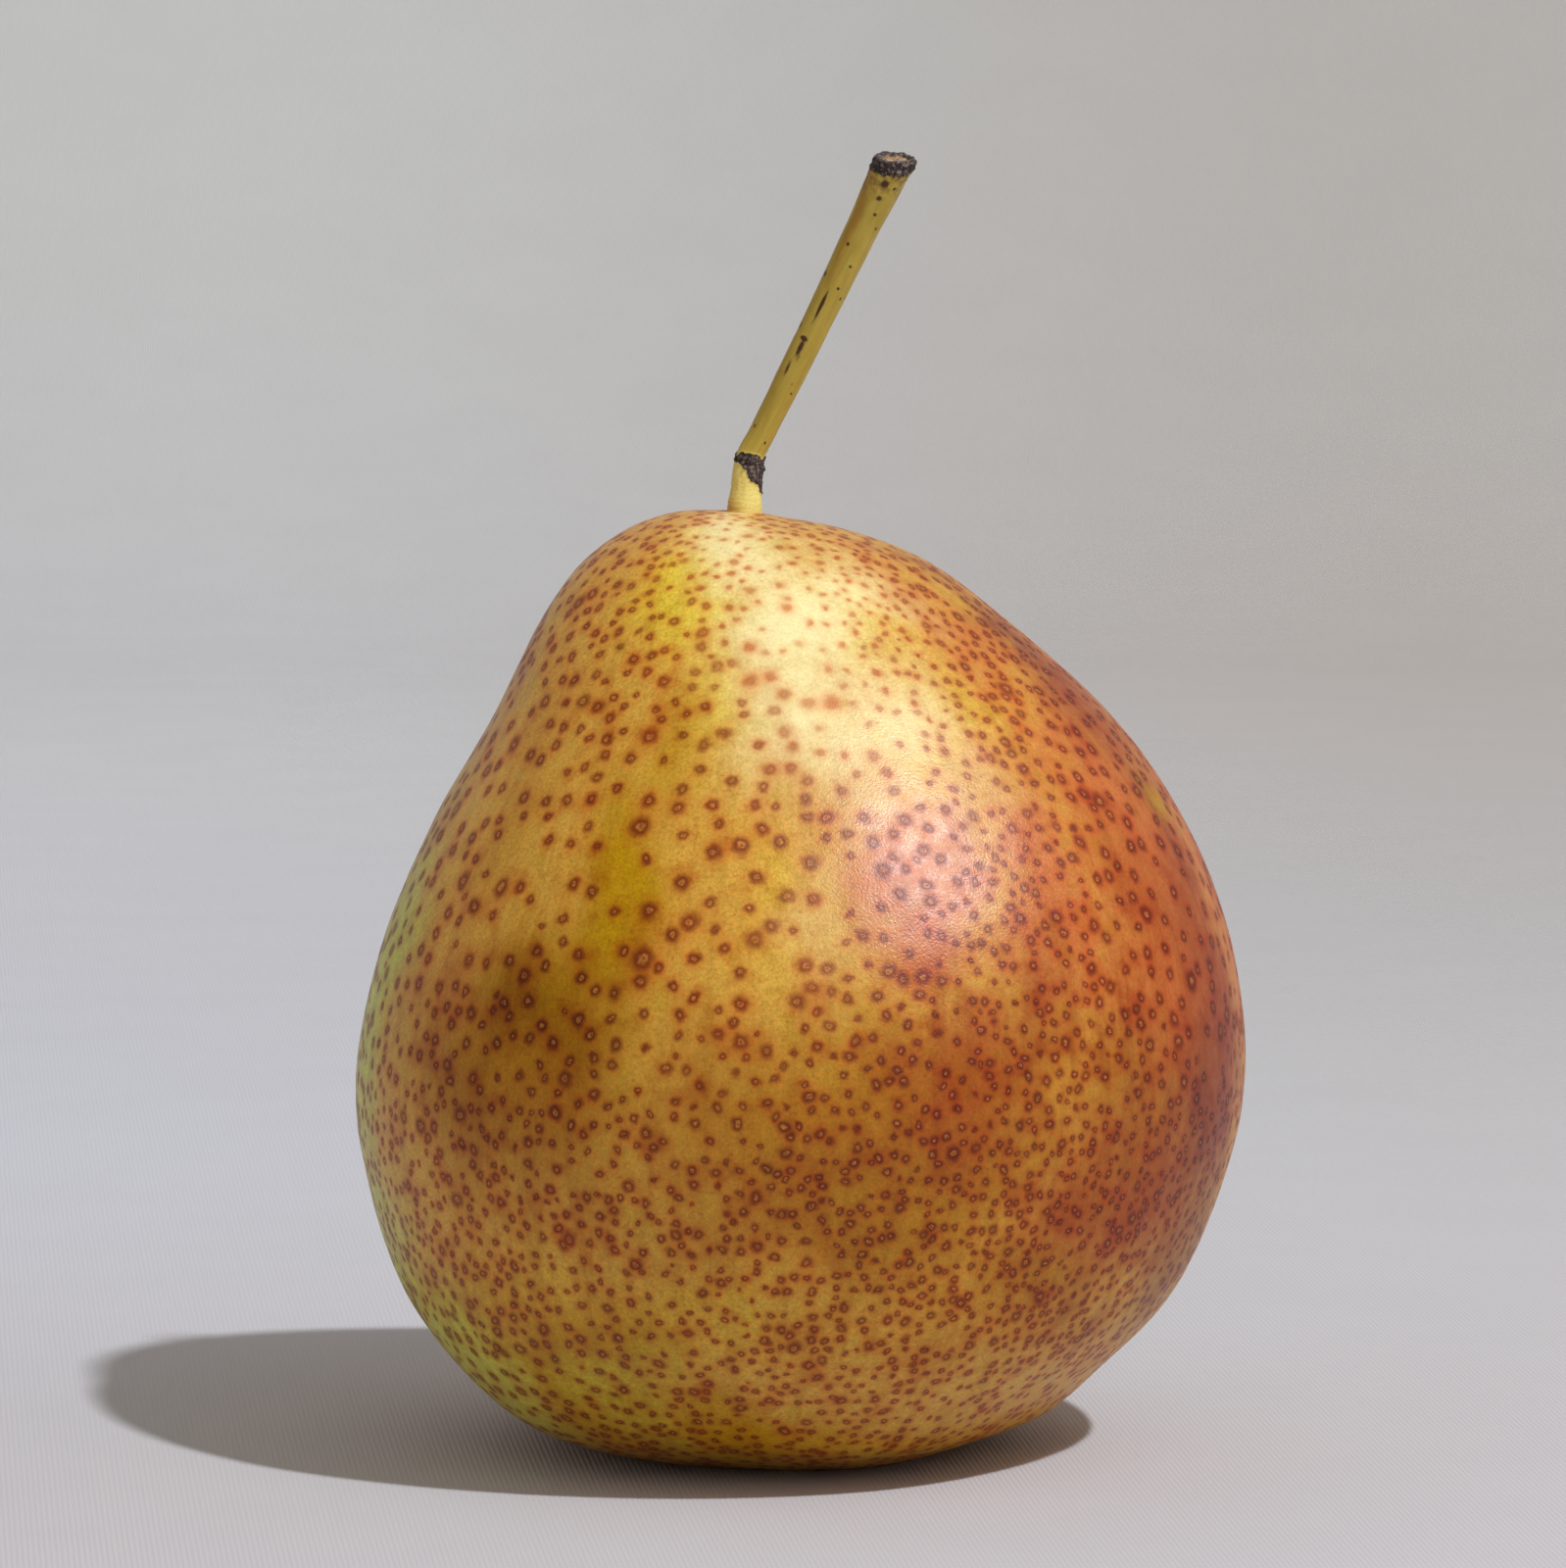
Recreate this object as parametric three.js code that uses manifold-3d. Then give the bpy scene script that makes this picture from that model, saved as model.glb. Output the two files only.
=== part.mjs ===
// A plump, short-necked pear standing on its calyx end, with its stalk still on.
//
// Millimetres, +Z up. The origin is on the resting surface, under the middle of the fruit's box.
// The fruit leans a little: its sections are near-circles whose centres wander off the upright
// axis, so the left side keeps a hollow neck while the right side stays full.
//
// Three solids that grew as separate organs: the fruit, its stalk and the dried calyx (the five
// sepals of the flower) in the basin underneath.

import * as THREE from "three";
import { mergeVertices } from "three/addons/utils/BufferGeometryUtils.js";
import Module from "manifold-3d";

const wasm = await Module();
wasm.setup();

// The fruit's outline, seen from the front: [height, left edge, right edge] of each level.
const FRUIT_OUTLINE = [
  [0.0, -13.1, 11.9],
  [1.0, -18.0, 15.0],
  [3.0, -23.4, 19.6],
  [6.5, -27.6, 23.7],
  [12.5, -31.9, 29.5],
  [21.0, -34.6, 33.5],
  [30.0, -35.5, 35.3],
  [39.5, -33.6, 34.3],
  [49.0, -29.7, 30.8],
  [58.0, -24.6, 24.6],
  [65.5, -20.7, 16.3],
  [70.0, -17.3, 10.2],
  [72.7, -13.4, 3.7],
  [73.8, -9.5, -1.0],
  [74.0, -6.3, -2.5],
];

// The basin under the fruit. The fruit stands on the flat ring between the basin's mouth and the
// outline's first level.
const BASIN_X = -0.6;
const BASIN_MOUTH_RADIUS = 10.2;
const BASIN_DEPTH = 5.6;
const BASIN_EDGE_POWER = 1.7;

// The gap left round the stalk's root and round the calyx's root.
const ROOT_GAP = 0.3;

// The stalk comes out a little right of and behind the crown's highest point, because the flesh
// makes a low lip at its front left.
const STALK_X = -4.4;
const STALK_Y = 2.0;
const STALK_ROOT_RADIUS = 1.45;
const STALK_SOCKET_DEPTH = 4.0;
const LEAN_START_HEIGHT = 40;
const LIP_SLOPE = 0.12;
const LIP_REACH = 6.0;
const LIP_START_HEIGHT = 66;
const LIP_DIRECTION = THREE.MathUtils.degToRad(205);

// How far the fruit's sections stray from true circles, as shares of their radius. The oval, the
// three lobes and the five base lobes fade out between the two heights, so the crown is round.
const OVAL_SHARE = 0.012;
const OVAL_DIRECTION = THREE.MathUtils.degToRad(62);
const THREE_LOBE_SHARE = 0.008;
const THREE_LOBE_DIRECTION = THREE.MathUtils.degToRad(20);
const BASE_LOBE_COUNT = 5;
const BASE_LOBE_SHARE = 0.026;
const BASE_LOBE_DIRECTION = THREE.MathUtils.degToRad(-65);
const BASE_LOBE_HEIGHT = 13;
const ROUND_CROWN_HEIGHTS = [62, 73];

// The stalk: points of its centreline from the root to the cut, its radius by height (a flared
// foot, a thin knee and a thick knob), and the direction that its cut faces. Over the knee it
// leans right and forward.
const STALK_PATH = [
  [STALK_X, STALK_Y, 70.6],
  [STALK_X, STALK_Y, 74.0],
  [STALK_X + 0.3, STALK_Y - 0.05, 78.1],
  [STALK_X + 1.5, STALK_Y - 0.4, 80.6],
  [1.79, -1.1, 90.22],
  [7.57, -5.0, 102.17],
];
const STALK_RADII = [
  [70.6, 1.3],
  [74.0, 1.38],
  [76.2, 1.13],
  [78.4, 1.06],
  [80.2, 1.02],
  [87.7, 1.14],
  [96.3, 1.27],
  [100.2, 1.46],
  [101.55, 1.75],
  [102.17, 1.72],
];
const CUT_NORMAL = new THREE.Vector3(0.08, -0.26, 1).normalize();
const CUT_START_SHARE = 0.8;

// The calyx: a woody cup that hangs in the basin, as [share of the cup's radius, height over its
// rim], a root above it in the fruit, and five dried sepals.
const CALYX_CUP_RADIUS = 2.3;
const CALYX_CUP_HEIGHT = 1.5;
const CALYX_CUP_OUTLINE = [
  [0, 0.7],
  [0.55, 0.6],
  [0.72, 0],
  [0.9, 0.15],
  [0.82, 1.2],
];
const CALYX_ROOT_RADIUS = 1.1;
const CALYX_ROOT_LENGTH = 1.6;
const SEPAL_COUNT = 5;
const SEPAL_TURN = 0.25;
const SEPAL_HALF_WIDTH = 1.15;
const SEPAL_HALF_THICKNESS = 0.36;
const SEPAL_TIP_HALF_WIDTH = 0.25;

// A sepal's centreline: [distance from the cup's axis, height over the cup's rim].
const SEPAL_PATH = [
  [1.0, 0.8],
  [2.3, 0.1],
  [3.8, -0.35],
  [4.9, -0.55],
];

// Facets.
const FRUIT_SIDES = 72;
const FRUIT_SIDE_RINGS = 44;
const BASIN_RINGS = 7;
const STALK_SIDES = 16;
const STALK_RINGS = 34;
const CUP_SIDES = 20;
const SEPAL_SIDES = 8;
const SEPAL_RINGS = 8;

const material = (color, roughness) => new THREE.MeshStandardMaterial({ color, roughness, metalness: 0 });
const fruitSkin = material(0xc08a3a, 0.42);
const stalkBark = material(0x8f7a2c, 0.6);
const driedCalyx = material(0x3b2a1c, 0.85);

const curve = (points) => new THREE.CatmullRomCurve3(points, false, "centripetal");

// One level of the fruit: a circle of this radius at this height round (x, y).
const ring = (x, y, z, radius) => ({ x, y, z, radius });

// The fruit's axis drifts back towards the stalk in its upper half.
function depthOfAxis(z) {
  return STALK_Y * THREE.MathUtils.smoothstep(z, LEAN_START_HEIGHT, FRUIT_OUTLINE.at(-1)[0]);
}

function sideRings() {
  const outline = curve(FRUIT_OUTLINE.map(([z, left, right]) => new THREE.Vector3(left, right, z)));
  return Array.from({ length: FRUIT_SIDE_RINGS + 1 }, (_, i) => {
    const { x: left, y: right, z } = outline.getPointAt(i / FRUIT_SIDE_RINGS);
    return ring((left + right) / 2, depthOfAxis(z), z, (right - left) / 2);
  });
}

function basinRings() {
  return Array.from({ length: BASIN_RINGS }, (_, i) => {
    const radius = THREE.MathUtils.lerp(CALYX_CUP_RADIUS, BASIN_MOUTH_RADIUS, i / (BASIN_RINGS - 1));
    const rise = Math.pow(1 - Math.pow(radius / BASIN_MOUTH_RADIUS, 2), BASIN_EDGE_POWER);
    return ring(BASIN_X, 0, BASIN_DEPTH * rise, radius);
  });
}

// From the calyx's root hole, through the basin and up the side, to the stalk's root hole.
function fruitRings() {
  const basin = basinRings();
  const side = sideRings();
  const floor = basin[0].z;
  const calyxHole = CALYX_ROOT_RADIUS + ROOT_GAP;
  const calyxTop = floor + CALYX_ROOT_LENGTH + ROOT_GAP;
  const stalkHole = STALK_ROOT_RADIUS + ROOT_GAP;
  const stalkFloor = side.at(-1).z - STALK_SOCKET_DEPTH;
  return [
    ring(BASIN_X, 0, calyxTop, 0),
    ring(BASIN_X, 0, calyxTop, calyxHole),
    ring(BASIN_X, 0, floor, calyxHole),
    ...basin,
    ...side,
    ring(STALK_X, STALK_Y, stalkFloor, stalkHole),
    ring(STALK_X, STALK_Y, stalkFloor, 0),
  ];
}

// The share by which a section's radius grows at this angle and height.
function swelling(angle, z) {
  const oval = OVAL_SHARE * Math.cos(2 * (angle - OVAL_DIRECTION));
  const threeLobes = THREE_LOBE_SHARE * Math.cos(3 * (angle - THREE_LOBE_DIRECTION));
  const nearBase = Math.exp(-Math.pow(z / BASE_LOBE_HEIGHT, 2));
  const baseLobes = BASE_LOBE_SHARE * Math.cos(BASE_LOBE_COUNT * (angle - BASE_LOBE_DIRECTION));
  const belowCrown = 1 - THREE.MathUtils.smoothstep(z, ...ROUND_CROWN_HEIGHTS);
  return belowCrown * (oval + threeLobes + nearBase * baseLobes);
}

// The low lip of flesh beside the stalk, and the matching fall on the other side.
function lipRise(angle, radius, z) {
  const nearCrown = THREE.MathUtils.smoothstep(z, LIP_START_HEIGHT, ROUND_CROWN_HEIGHTS[1]);
  const spread = radius * Math.exp(-Math.pow(radius / LIP_REACH, 2));
  return nearCrown * LIP_SLOPE * spread * Math.cos(angle - LIP_DIRECTION);
}

function fruitGeometry() {
  const rings = fruitRings();
  const profile = rings.map(({ radius, z }) => new THREE.Vector2(radius, z));
  const geometry = new THREE.LatheGeometry(profile, FRUIT_SIDES).rotateX(Math.PI / 2);
  const { position, uv } = geometry.attributes;
  for (let i = 0; i < position.count; i++) {
    const level = rings[Math.round(uv.getY(i) * (rings.length - 1))];
    const angle = Math.atan2(position.getY(i), position.getX(i));
    const radius = level.radius * (1 + swelling(angle, level.z));
    position.setXYZ(
      i,
      level.x + radius * Math.cos(angle),
      level.y + radius * Math.sin(angle),
      level.z + lipRise(angle, level.radius, level.z),
    );
  }
  return geometry;
}

// A closed solid swept along a path that stays in or near one upright plane. `across` is that
// plane's normal, `half(u)` the section's half sizes across and within the plane, and `shear(u)`
// how far the section leans over to lie square to `cut`.
function sweep({ path, across, half, rings, sides, shear = () => 0, cut = across }) {
  const profile = Array.from({ length: rings + 1 }, (_, i) => new THREE.Vector2(1, i));
  profile.unshift(new THREE.Vector2(0, 0));
  profile.push(new THREE.Vector2(0, rings));
  const geometry = new THREE.LatheGeometry(profile, sides).rotateX(Math.PI / 2);
  const { position } = geometry.attributes;
  for (let i = 0; i < position.count; i++) {
    const u = THREE.MathUtils.clamp(position.getZ(i) / rings, 0, 1);
    const tangent = path.getTangentAt(u);
    const within = new THREE.Vector3().crossVectors(tangent, across).normalize();
    const [a, b] = half(u);
    const offset = new THREE.Vector3()
      .addScaledVector(across, position.getX(i) * a)
      .addScaledVector(within, position.getY(i) * b);
    const lean = (-shear(u) * offset.dot(cut)) / tangent.dot(cut);
    const point = path.getPointAt(u).add(offset).addScaledVector(tangent, lean);
    position.setXYZ(i, point.x, point.y, point.z);
  }
  return geometry;
}

function stalkRadius(z) {
  const above = STALK_RADII.findIndex(([height]) => height >= z);
  if (above <= 0) return STALK_RADII.at(above)[1];
  const [[z0, r0], [z1, r1]] = STALK_RADII.slice(above - 1, above + 1);
  return THREE.MathUtils.lerp(r0, r1, THREE.MathUtils.smoothstep(z, z0, z1));
}

function stalkGeometry() {
  const path = curve(STALK_PATH.map((point) => new THREE.Vector3(...point)));
  const half = (u) => {
    const radius = stalkRadius(path.getPointAt(u).z);
    return [radius, radius];
  };
  const shear = (u) => THREE.MathUtils.smoothstep(u, CUT_START_SHARE, 1);
  const across = new THREE.Vector3(0, -1, 0);
  return sweep({ path, across, half, rings: STALK_RINGS, sides: STALK_SIDES, shear, cut: CUT_NORMAL });
}

// A solid for joining, from a closed geometry.
function solidOf(geometry) {
  const bare = geometry.toNonIndexed();
  bare.deleteAttribute("normal");
  bare.deleteAttribute("uv");
  const merged = mergeVertices(bare, 1e-3);
  return new wasm.Manifold(
    new wasm.Mesh({
      numProp: 3,
      vertProperties: merged.attributes.position.array,
      triVerts: new Uint32Array(merged.index.array),
    }),
  );
}

function geometryOf(solid) {
  const { numProp, numVert, vertProperties, triVerts } = solid.getMesh();
  const positions = new Float32Array(numVert * 3);
  for (let i = 0; i < numVert; i++) {
    positions.set(vertProperties.subarray(i * numProp, i * numProp + 3), i * 3);
  }
  const geometry = new THREE.BufferGeometry();
  geometry.setAttribute("position", new THREE.BufferAttribute(positions, 3));
  geometry.setIndex(new THREE.BufferAttribute(new Uint32Array(triVerts), 1));
  return geometry.toNonIndexed();
}

// The cup hangs mouth down, a gap under the basin's floor, and its root goes up into the fruit.
function calyxCup(floor, rim) {
  const rootTop = floor + CALYX_ROOT_LENGTH;
  const outline = CALYX_CUP_OUTLINE.map(([share, rise]) => [share * CALYX_CUP_RADIUS, rim + rise]);
  outline.push([CALYX_ROOT_RADIUS, rim + CALYX_CUP_HEIGHT], [CALYX_ROOT_RADIUS, rootTop], [0, rootTop]);
  const points = outline.map(([radius, z]) => new THREE.Vector2(radius, z));
  return new THREE.LatheGeometry(points, CUP_SIDES).rotateX(Math.PI / 2).translate(BASIN_X, 0, 0);
}

// A sepal is widest in its outer half and comes to a narrow tip.
function sepal(angle, rim) {
  const outward = new THREE.Vector3(Math.cos(angle), Math.sin(angle), 0);
  const across = new THREE.Vector3(-Math.sin(angle), Math.cos(angle), 0);
  const place = ([reach, rise]) =>
    outward.clone().multiplyScalar(reach).add(new THREE.Vector3(BASIN_X, 0, rim + rise));
  const half = (u) => {
    const width = SEPAL_HALF_WIDTH * Math.sqrt(Math.max(0, 1 - u * u)) * THREE.MathUtils.lerp(0.75, 1.25, u);
    return [Math.max(width, SEPAL_TIP_HALF_WIDTH), SEPAL_HALF_THICKNESS];
  };
  return sweep({ path: curve(SEPAL_PATH.map(place)), across, half, rings: SEPAL_RINGS, sides: SEPAL_SIDES });
}

function calyxGeometry() {
  const floor = basinRings()[0].z;
  const rim = floor - ROOT_GAP - CALYX_CUP_HEIGHT;
  let solid = solidOf(calyxCup(floor, rim));
  for (let i = 0; i < SEPAL_COUNT; i++) {
    const angle = (2 * Math.PI * (i + SEPAL_TURN)) / SEPAL_COUNT;
    solid = solid.add(solidOf(sepal(angle, rim)));
  }
  return geometryOf(solid);
}

function named(name, geometry, finish) {
  const mesh = new THREE.Mesh(geometry, finish);
  mesh.name = name;
  return mesh;
}

const fruit = named("fruit_body", fruitGeometry(), fruitSkin);
const organs = new THREE.Group();
organs.add(fruit, named("stalk", stalkGeometry(), stalkBark), named("calyx", calyxGeometry(), driedCalyx));

const middle = new THREE.Box3().setFromObject(fruit).getCenter(new THREE.Vector3());
organs.position.set(-middle.x, -middle.y, 0);

const pear = new THREE.Group();
pear.add(organs);

export default pear;
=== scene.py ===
"""The looks of the pear: speckled skin, woody stalk and dried calyx on a pale studio ground.

Shapes are worked out in millimetres in the part's frame and turned into metres when a mesh is
made. Round the fruit, "turn" is the angle in degrees from the side that faces the camera (-Y)
towards the right (+X), so the left rim is at -90 and the back at 180. Round the stalk, "angle" is
in radians from the same side towards the left.
"""

import math

import bpy
import numpy as np
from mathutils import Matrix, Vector, kdtree, noise


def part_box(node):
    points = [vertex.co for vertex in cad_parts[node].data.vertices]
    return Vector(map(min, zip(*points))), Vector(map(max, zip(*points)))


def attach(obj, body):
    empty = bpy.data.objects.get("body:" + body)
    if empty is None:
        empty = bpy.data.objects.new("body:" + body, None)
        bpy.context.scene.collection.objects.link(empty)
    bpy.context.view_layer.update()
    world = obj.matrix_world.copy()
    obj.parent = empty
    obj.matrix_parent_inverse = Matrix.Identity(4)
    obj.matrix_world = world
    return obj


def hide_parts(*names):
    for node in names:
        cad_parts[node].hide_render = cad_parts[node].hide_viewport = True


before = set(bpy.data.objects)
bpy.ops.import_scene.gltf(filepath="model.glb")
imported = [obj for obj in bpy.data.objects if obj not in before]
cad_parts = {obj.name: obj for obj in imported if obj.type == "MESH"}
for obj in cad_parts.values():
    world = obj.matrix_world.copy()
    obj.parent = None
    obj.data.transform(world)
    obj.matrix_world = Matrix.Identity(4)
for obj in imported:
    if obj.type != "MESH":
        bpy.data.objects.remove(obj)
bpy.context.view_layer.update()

MM = 0.001

# The fruit's outline, seen from the front: height, left edge, right edge.
FRUIT_OUTLINE = [
    (0.0, -13.1, 11.9),
    (1.0, -18.0, 15.0),
    (3.0, -23.4, 19.6),
    (6.5, -27.6, 23.7),
    (12.5, -31.9, 29.5),
    (21.0, -34.6, 33.5),
    (30.0, -35.5, 35.3),
    (39.5, -33.6, 34.3),
    (49.0, -29.7, 30.8),
    (58.0, -24.6, 24.6),
    (65.5, -20.7, 16.3),
    (70.0, -17.3, 10.2),
    (72.7, -13.4, 3.7),
    (73.8, -9.5, -1.0),
    (74.0, -6.3, -2.5),
]
CROWN_HEIGHT = FRUIT_OUTLINE[-1][0]

# The basin underneath, and where the stalk comes out of the crown.
BASIN_X, BASIN_MOUTH, BASIN_DEPTH, BASIN_POWER = -0.6, 10.2, 5.6, 1.7
STALK_X, STALK_Y = -4.4, 2.0

CURVE_STEPS = 60
FULL_TURN = 2 * math.pi
UP = np.array([0, 0, 1])


def smooth(x, low, high):
    """0 up to `low`, 1 from `high` on, and a soft step between them."""
    t = np.clip((np.asarray(x, float) - low) / (high - low), 0, 1)
    return t * t * (3 - 2 * t)


def bell(*distances):
    """1 where every distance is 0, and fading out past 1."""
    return np.exp(-sum(distance**2 for distance in distances))


def circle(count):
    """Angles in equal steps, once round, as a row."""
    return np.linspace(0, FULL_TURN, count, endpoint=False)[None]


def on_cylinder(angle, z, radius=1.0, stretch=1.0):
    """Points round an upright cylinder, for noise that closes on itself."""
    flat = 0 * (angle + z)
    return np.stack([radius * np.cos(angle) + flat, radius * np.sin(angle) + flat, stretch * z + flat], -1)


def curve_points(points, count):
    """Centripetal Catmull-Rom through the points, sampled at equal steps of length."""
    p = np.asarray(points, float)
    p = np.vstack([2 * p[0] - p[1], p, 2 * p[-1] - p[-2]])
    pieces = []
    for p0, p1, p2, p3 in zip(p, p[1:], p[2:], p[3:]):
        d0, d1, d2 = (math.sqrt(np.linalg.norm(b - a)) for a, b in ((p0, p1), (p1, p2), (p2, p3)))
        m1 = ((p1 - p0) / d0 - (p2 - p0) / (d0 + d1) + (p2 - p1) / d1) * d1
        m2 = ((p2 - p1) / d1 - (p3 - p1) / (d1 + d2) + (p3 - p2) / d2) * d1
        t = np.linspace(0, 1, CURVE_STEPS, endpoint=False)[:, None]
        pieces.append(
            p1 + m1 * t + (3 * (p2 - p1) - 2 * m1 - m2) * t**2 + (2 * (p1 - p2) + m1 + m2) * t**3
        )
    pieces.append(p[-2:-1])
    q = np.vstack(pieces)
    at = np.r_[0, np.cumsum(np.linalg.norm(np.diff(q, axis=0), axis=1))]
    steps = np.linspace(0, at[-1], count)
    return np.stack([np.interp(steps, at, q[:, k]) for k in range(q.shape[1])], 1)


def noise_at(points, wavelength, seed):
    """Smooth noise from -1 to 1 at each point, in millimetres."""
    shift = np.array([seed * 17.3, seed * 5.1, seed * 9.7])
    flat = np.asarray(points, float).reshape(-1, 3) / wavelength + shift
    values = np.fromiter((noise.noise(Vector(p)) for p in flat), float, len(flat))
    return values.reshape(np.shape(points)[:-1])


def noise_sum(points, layers):
    """Layers of noise added up, each (height, wavelength, seed)."""
    return sum(height * noise_at(points, wavelength, seed) for height, wavelength, seed in layers)


def closed(rows):
    """A grid of rings with the centres of its first and last ring."""
    return rows, rows[0].mean(0), rows[-1].mean(0)


def grid_mesh(name, *grids):
    """One mesh of closed grids, in millimetres, each (rings x sides x 3, first and last centre)."""
    verts, faces, extra = [], [], 0
    for rows, start, end in grids:
        rings, sides, _ = rows.shape
        verts.append(rows.reshape(-1, 3))
        index = extra + np.arange(rings * sides).reshape(rings, sides)
        after = np.roll(index, -1, 1)
        quads = np.stack([index[:-1], after[:-1], after[1:], index[1:]], -1).reshape(-1, 4)
        faces += [tuple(f) for f in quads.tolist()]
        extra += rings * sides
        for centre, row, flip in ((start, 0, True), (end, rings - 1, False)):
            verts.append(np.asarray(centre, float)[None])
            for a, b in zip(index[row].tolist(), after[row].tolist()):
                faces.append((b, a, extra) if flip else (a, b, extra))
            extra += 1
    mesh = bpy.data.meshes.new(name)
    mesh.from_pydata((np.vstack(verts) * MM).tolist(), [], faces)
    mesh.update()
    mesh.polygons.foreach_set("use_smooth", np.ones(len(mesh.polygons), bool))
    piece = bpy.data.objects.new(name, mesh)
    bpy.context.scene.collection.objects.link(piece)
    return piece


def with_ends(values):
    """A grid's values as one list for its vertices, with the two end centres last."""
    flat = values.reshape(-1, values.shape[-1])
    return np.vstack([flat, flat[:1], flat[-1:]])


def put(piece, domain, name, values):
    """Store numbers or vectors on the piece's points or faces, for its material."""
    single = np.ndim(values) == 1
    layer = piece.data.attributes.new(name, "FLOAT" if single else "FLOAT_VECTOR", domain)
    values = np.ascontiguousarray(values, np.float32).ravel()
    layer.data.foreach_set("value" if single else "vector", values)


# The fruit's mesh, and where its skin turns down into the stalk's socket: drop, radius.
SIDES, SIDE_RINGS, BASIN_RINGS = 320, 252, 30
BASIN_CENTRE_RADIUS = 1.0
SOCKET_EDGE = [(0.06, 1.66), (0.3, 1.42), (0.8, 1.2)]
SOCKET_BOTTOM = CROWN_HEIGHT - 1.0

# The height from which the fruit's axis drifts back towards the stalk.
LEAN_START_HEIGHT = 40

# How far the sections stray from true circles: share of the radius, lobes, direction in degrees.
OVAL = (0.012, 2, 62)
THREE_LOBES = (0.008, 3, 20)
BASE_LOBES = (0.026, 5, -65)
BASE_LOBE_HEIGHT = 13
ROUND_CROWN_HEIGHTS = (62, 73)

# The low lip of flesh beside the stalk.
LIP_HEIGHTS, LIP_SLOPE, LIP_REACH, LIP_DIRECTION = (66, 73), 0.12, 6, 205

# Low relief on the skin: height, wavelength, noise seed. It fades out next to the ground.
SKIN_RELIEF = [(0.10, 9.0, 1), (0.045, 3.6, 2), (0.012, 1.3, 3)]
RELIEF_START = (0.4, 4.0)

# A shallow hollow in the right shoulder: turn, height, half width in degrees, half height, depth.
SHOULDER_HOLLOW = (16, 51.5, 24, 7.5, 0.32)


def levels():
    """Centre x, centre y, height and radius of each ring, from the calyx to the stalk."""
    radius = np.linspace(BASIN_CENTRE_RADIUS, BASIN_MOUTH, BASIN_RINGS)
    height = BASIN_DEPTH * (1 - (radius / BASIN_MOUTH) ** 2) ** BASIN_POWER
    basin = np.stack([np.full_like(radius, BASIN_X), 0 * radius, height, radius], 1)
    z, left, right = curve_points(FRUIT_OUTLINE, SIDE_RINGS).T
    z[0] = 0
    lean = STALK_Y * smooth(z, LEAN_START_HEIGHT, CROWN_HEIGHT)
    side = np.stack([(left + right) / 2, lean, z, (right - left) / 2], 1)
    socket = [(STALK_X, STALK_Y, CROWN_HEIGHT - drop, radius) for drop, radius in SOCKET_EDGE]
    return np.vstack([basin, side, socket])


def lobes(angle, share, count, direction):
    return share * np.cos(count * (angle - math.radians(direction)))


def swelling(angle, z):
    """The share by which a section's radius grows at this angle and height."""
    base = bell(z / BASE_LOBE_HEIGHT) * lobes(angle, *BASE_LOBES)
    below_crown = 1 - smooth(z, *ROUND_CROWN_HEIGHTS)
    return below_crown * (lobes(angle, *OVAL) + lobes(angle, *THREE_LOBES) + base)


def fruit_rows():
    """The fruit's rings, the turn of each point, and how far they moved to fill the node's box."""
    angle = circle(SIDES)
    x, y, z, radius = (column[:, None] for column in levels().T)
    r = radius * (1 + swelling(angle, z))
    near_crown = smooth(z, *LIP_HEIGHTS)
    lip = near_crown * radius * bell(radius / LIP_REACH) * lobes(angle, LIP_SLOPE, 1, LIP_DIRECTION)
    rows = np.stack([x + r * np.cos(angle), y + r * np.sin(angle), z + lip], -1)
    low, high = (Vector(c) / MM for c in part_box("fruit_body"))
    middle = (rows[..., :2].min((0, 1)) + rows[..., :2].max((0, 1))) / 2
    shift = np.array([(low.x + high.x) / 2, (low.y + high.y) / 2]) - middle
    rows[..., :2] += shift
    turn = np.degrees(np.arctan2(np.cos(angle), -np.sin(angle))) + 0 * z
    return rows, turn, shift


def row_normals(rows):
    along = np.gradient(rows, axis=0)
    across = (np.roll(rows, -1, 1) - np.roll(rows, 1, 1)) / 2
    normal = np.cross(across, along)
    return normal / np.maximum(np.linalg.norm(normal, axis=-1, keepdims=True), 1e-9)


def patches(turn, height, spots):
    """The strongest of several soft spots.

    Each spot is its turn, height, half width in degrees, half height and amount.
    """
    total = np.zeros(np.broadcast(turn, height).shape)
    for spot_turn, spot_height, wide, tall, amount in spots:
        off = (turn - spot_turn + 180) % 360 - 180
        total = np.maximum(total, amount * bell(off / wide, (height - spot_height) / tall))
    return total


def with_relief(rows, turn):
    height = rows[..., 2]
    relief = noise_sum(rows, SKIN_RELIEF) * smooth(height, *RELIEF_START)
    relief = relief - patches(turn, height, [SHOULDER_HOLLOW])
    return rows + row_normals(rows) * relief[..., None]


bare_rows, fruit_turn, box_shift = fruit_rows()
skin_rows = with_relief(bare_rows, fruit_turn)
basin_centre = (BASIN_X + box_shift[0], box_shift[1], BASIN_DEPTH)
socket_centre = (STALK_X + box_shift[0], STALK_Y + box_shift[1], SOCKET_BOTTOM)
skin_piece = grid_mesh("fruit_skin", (skin_rows, basin_centre, socket_centre))


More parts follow.
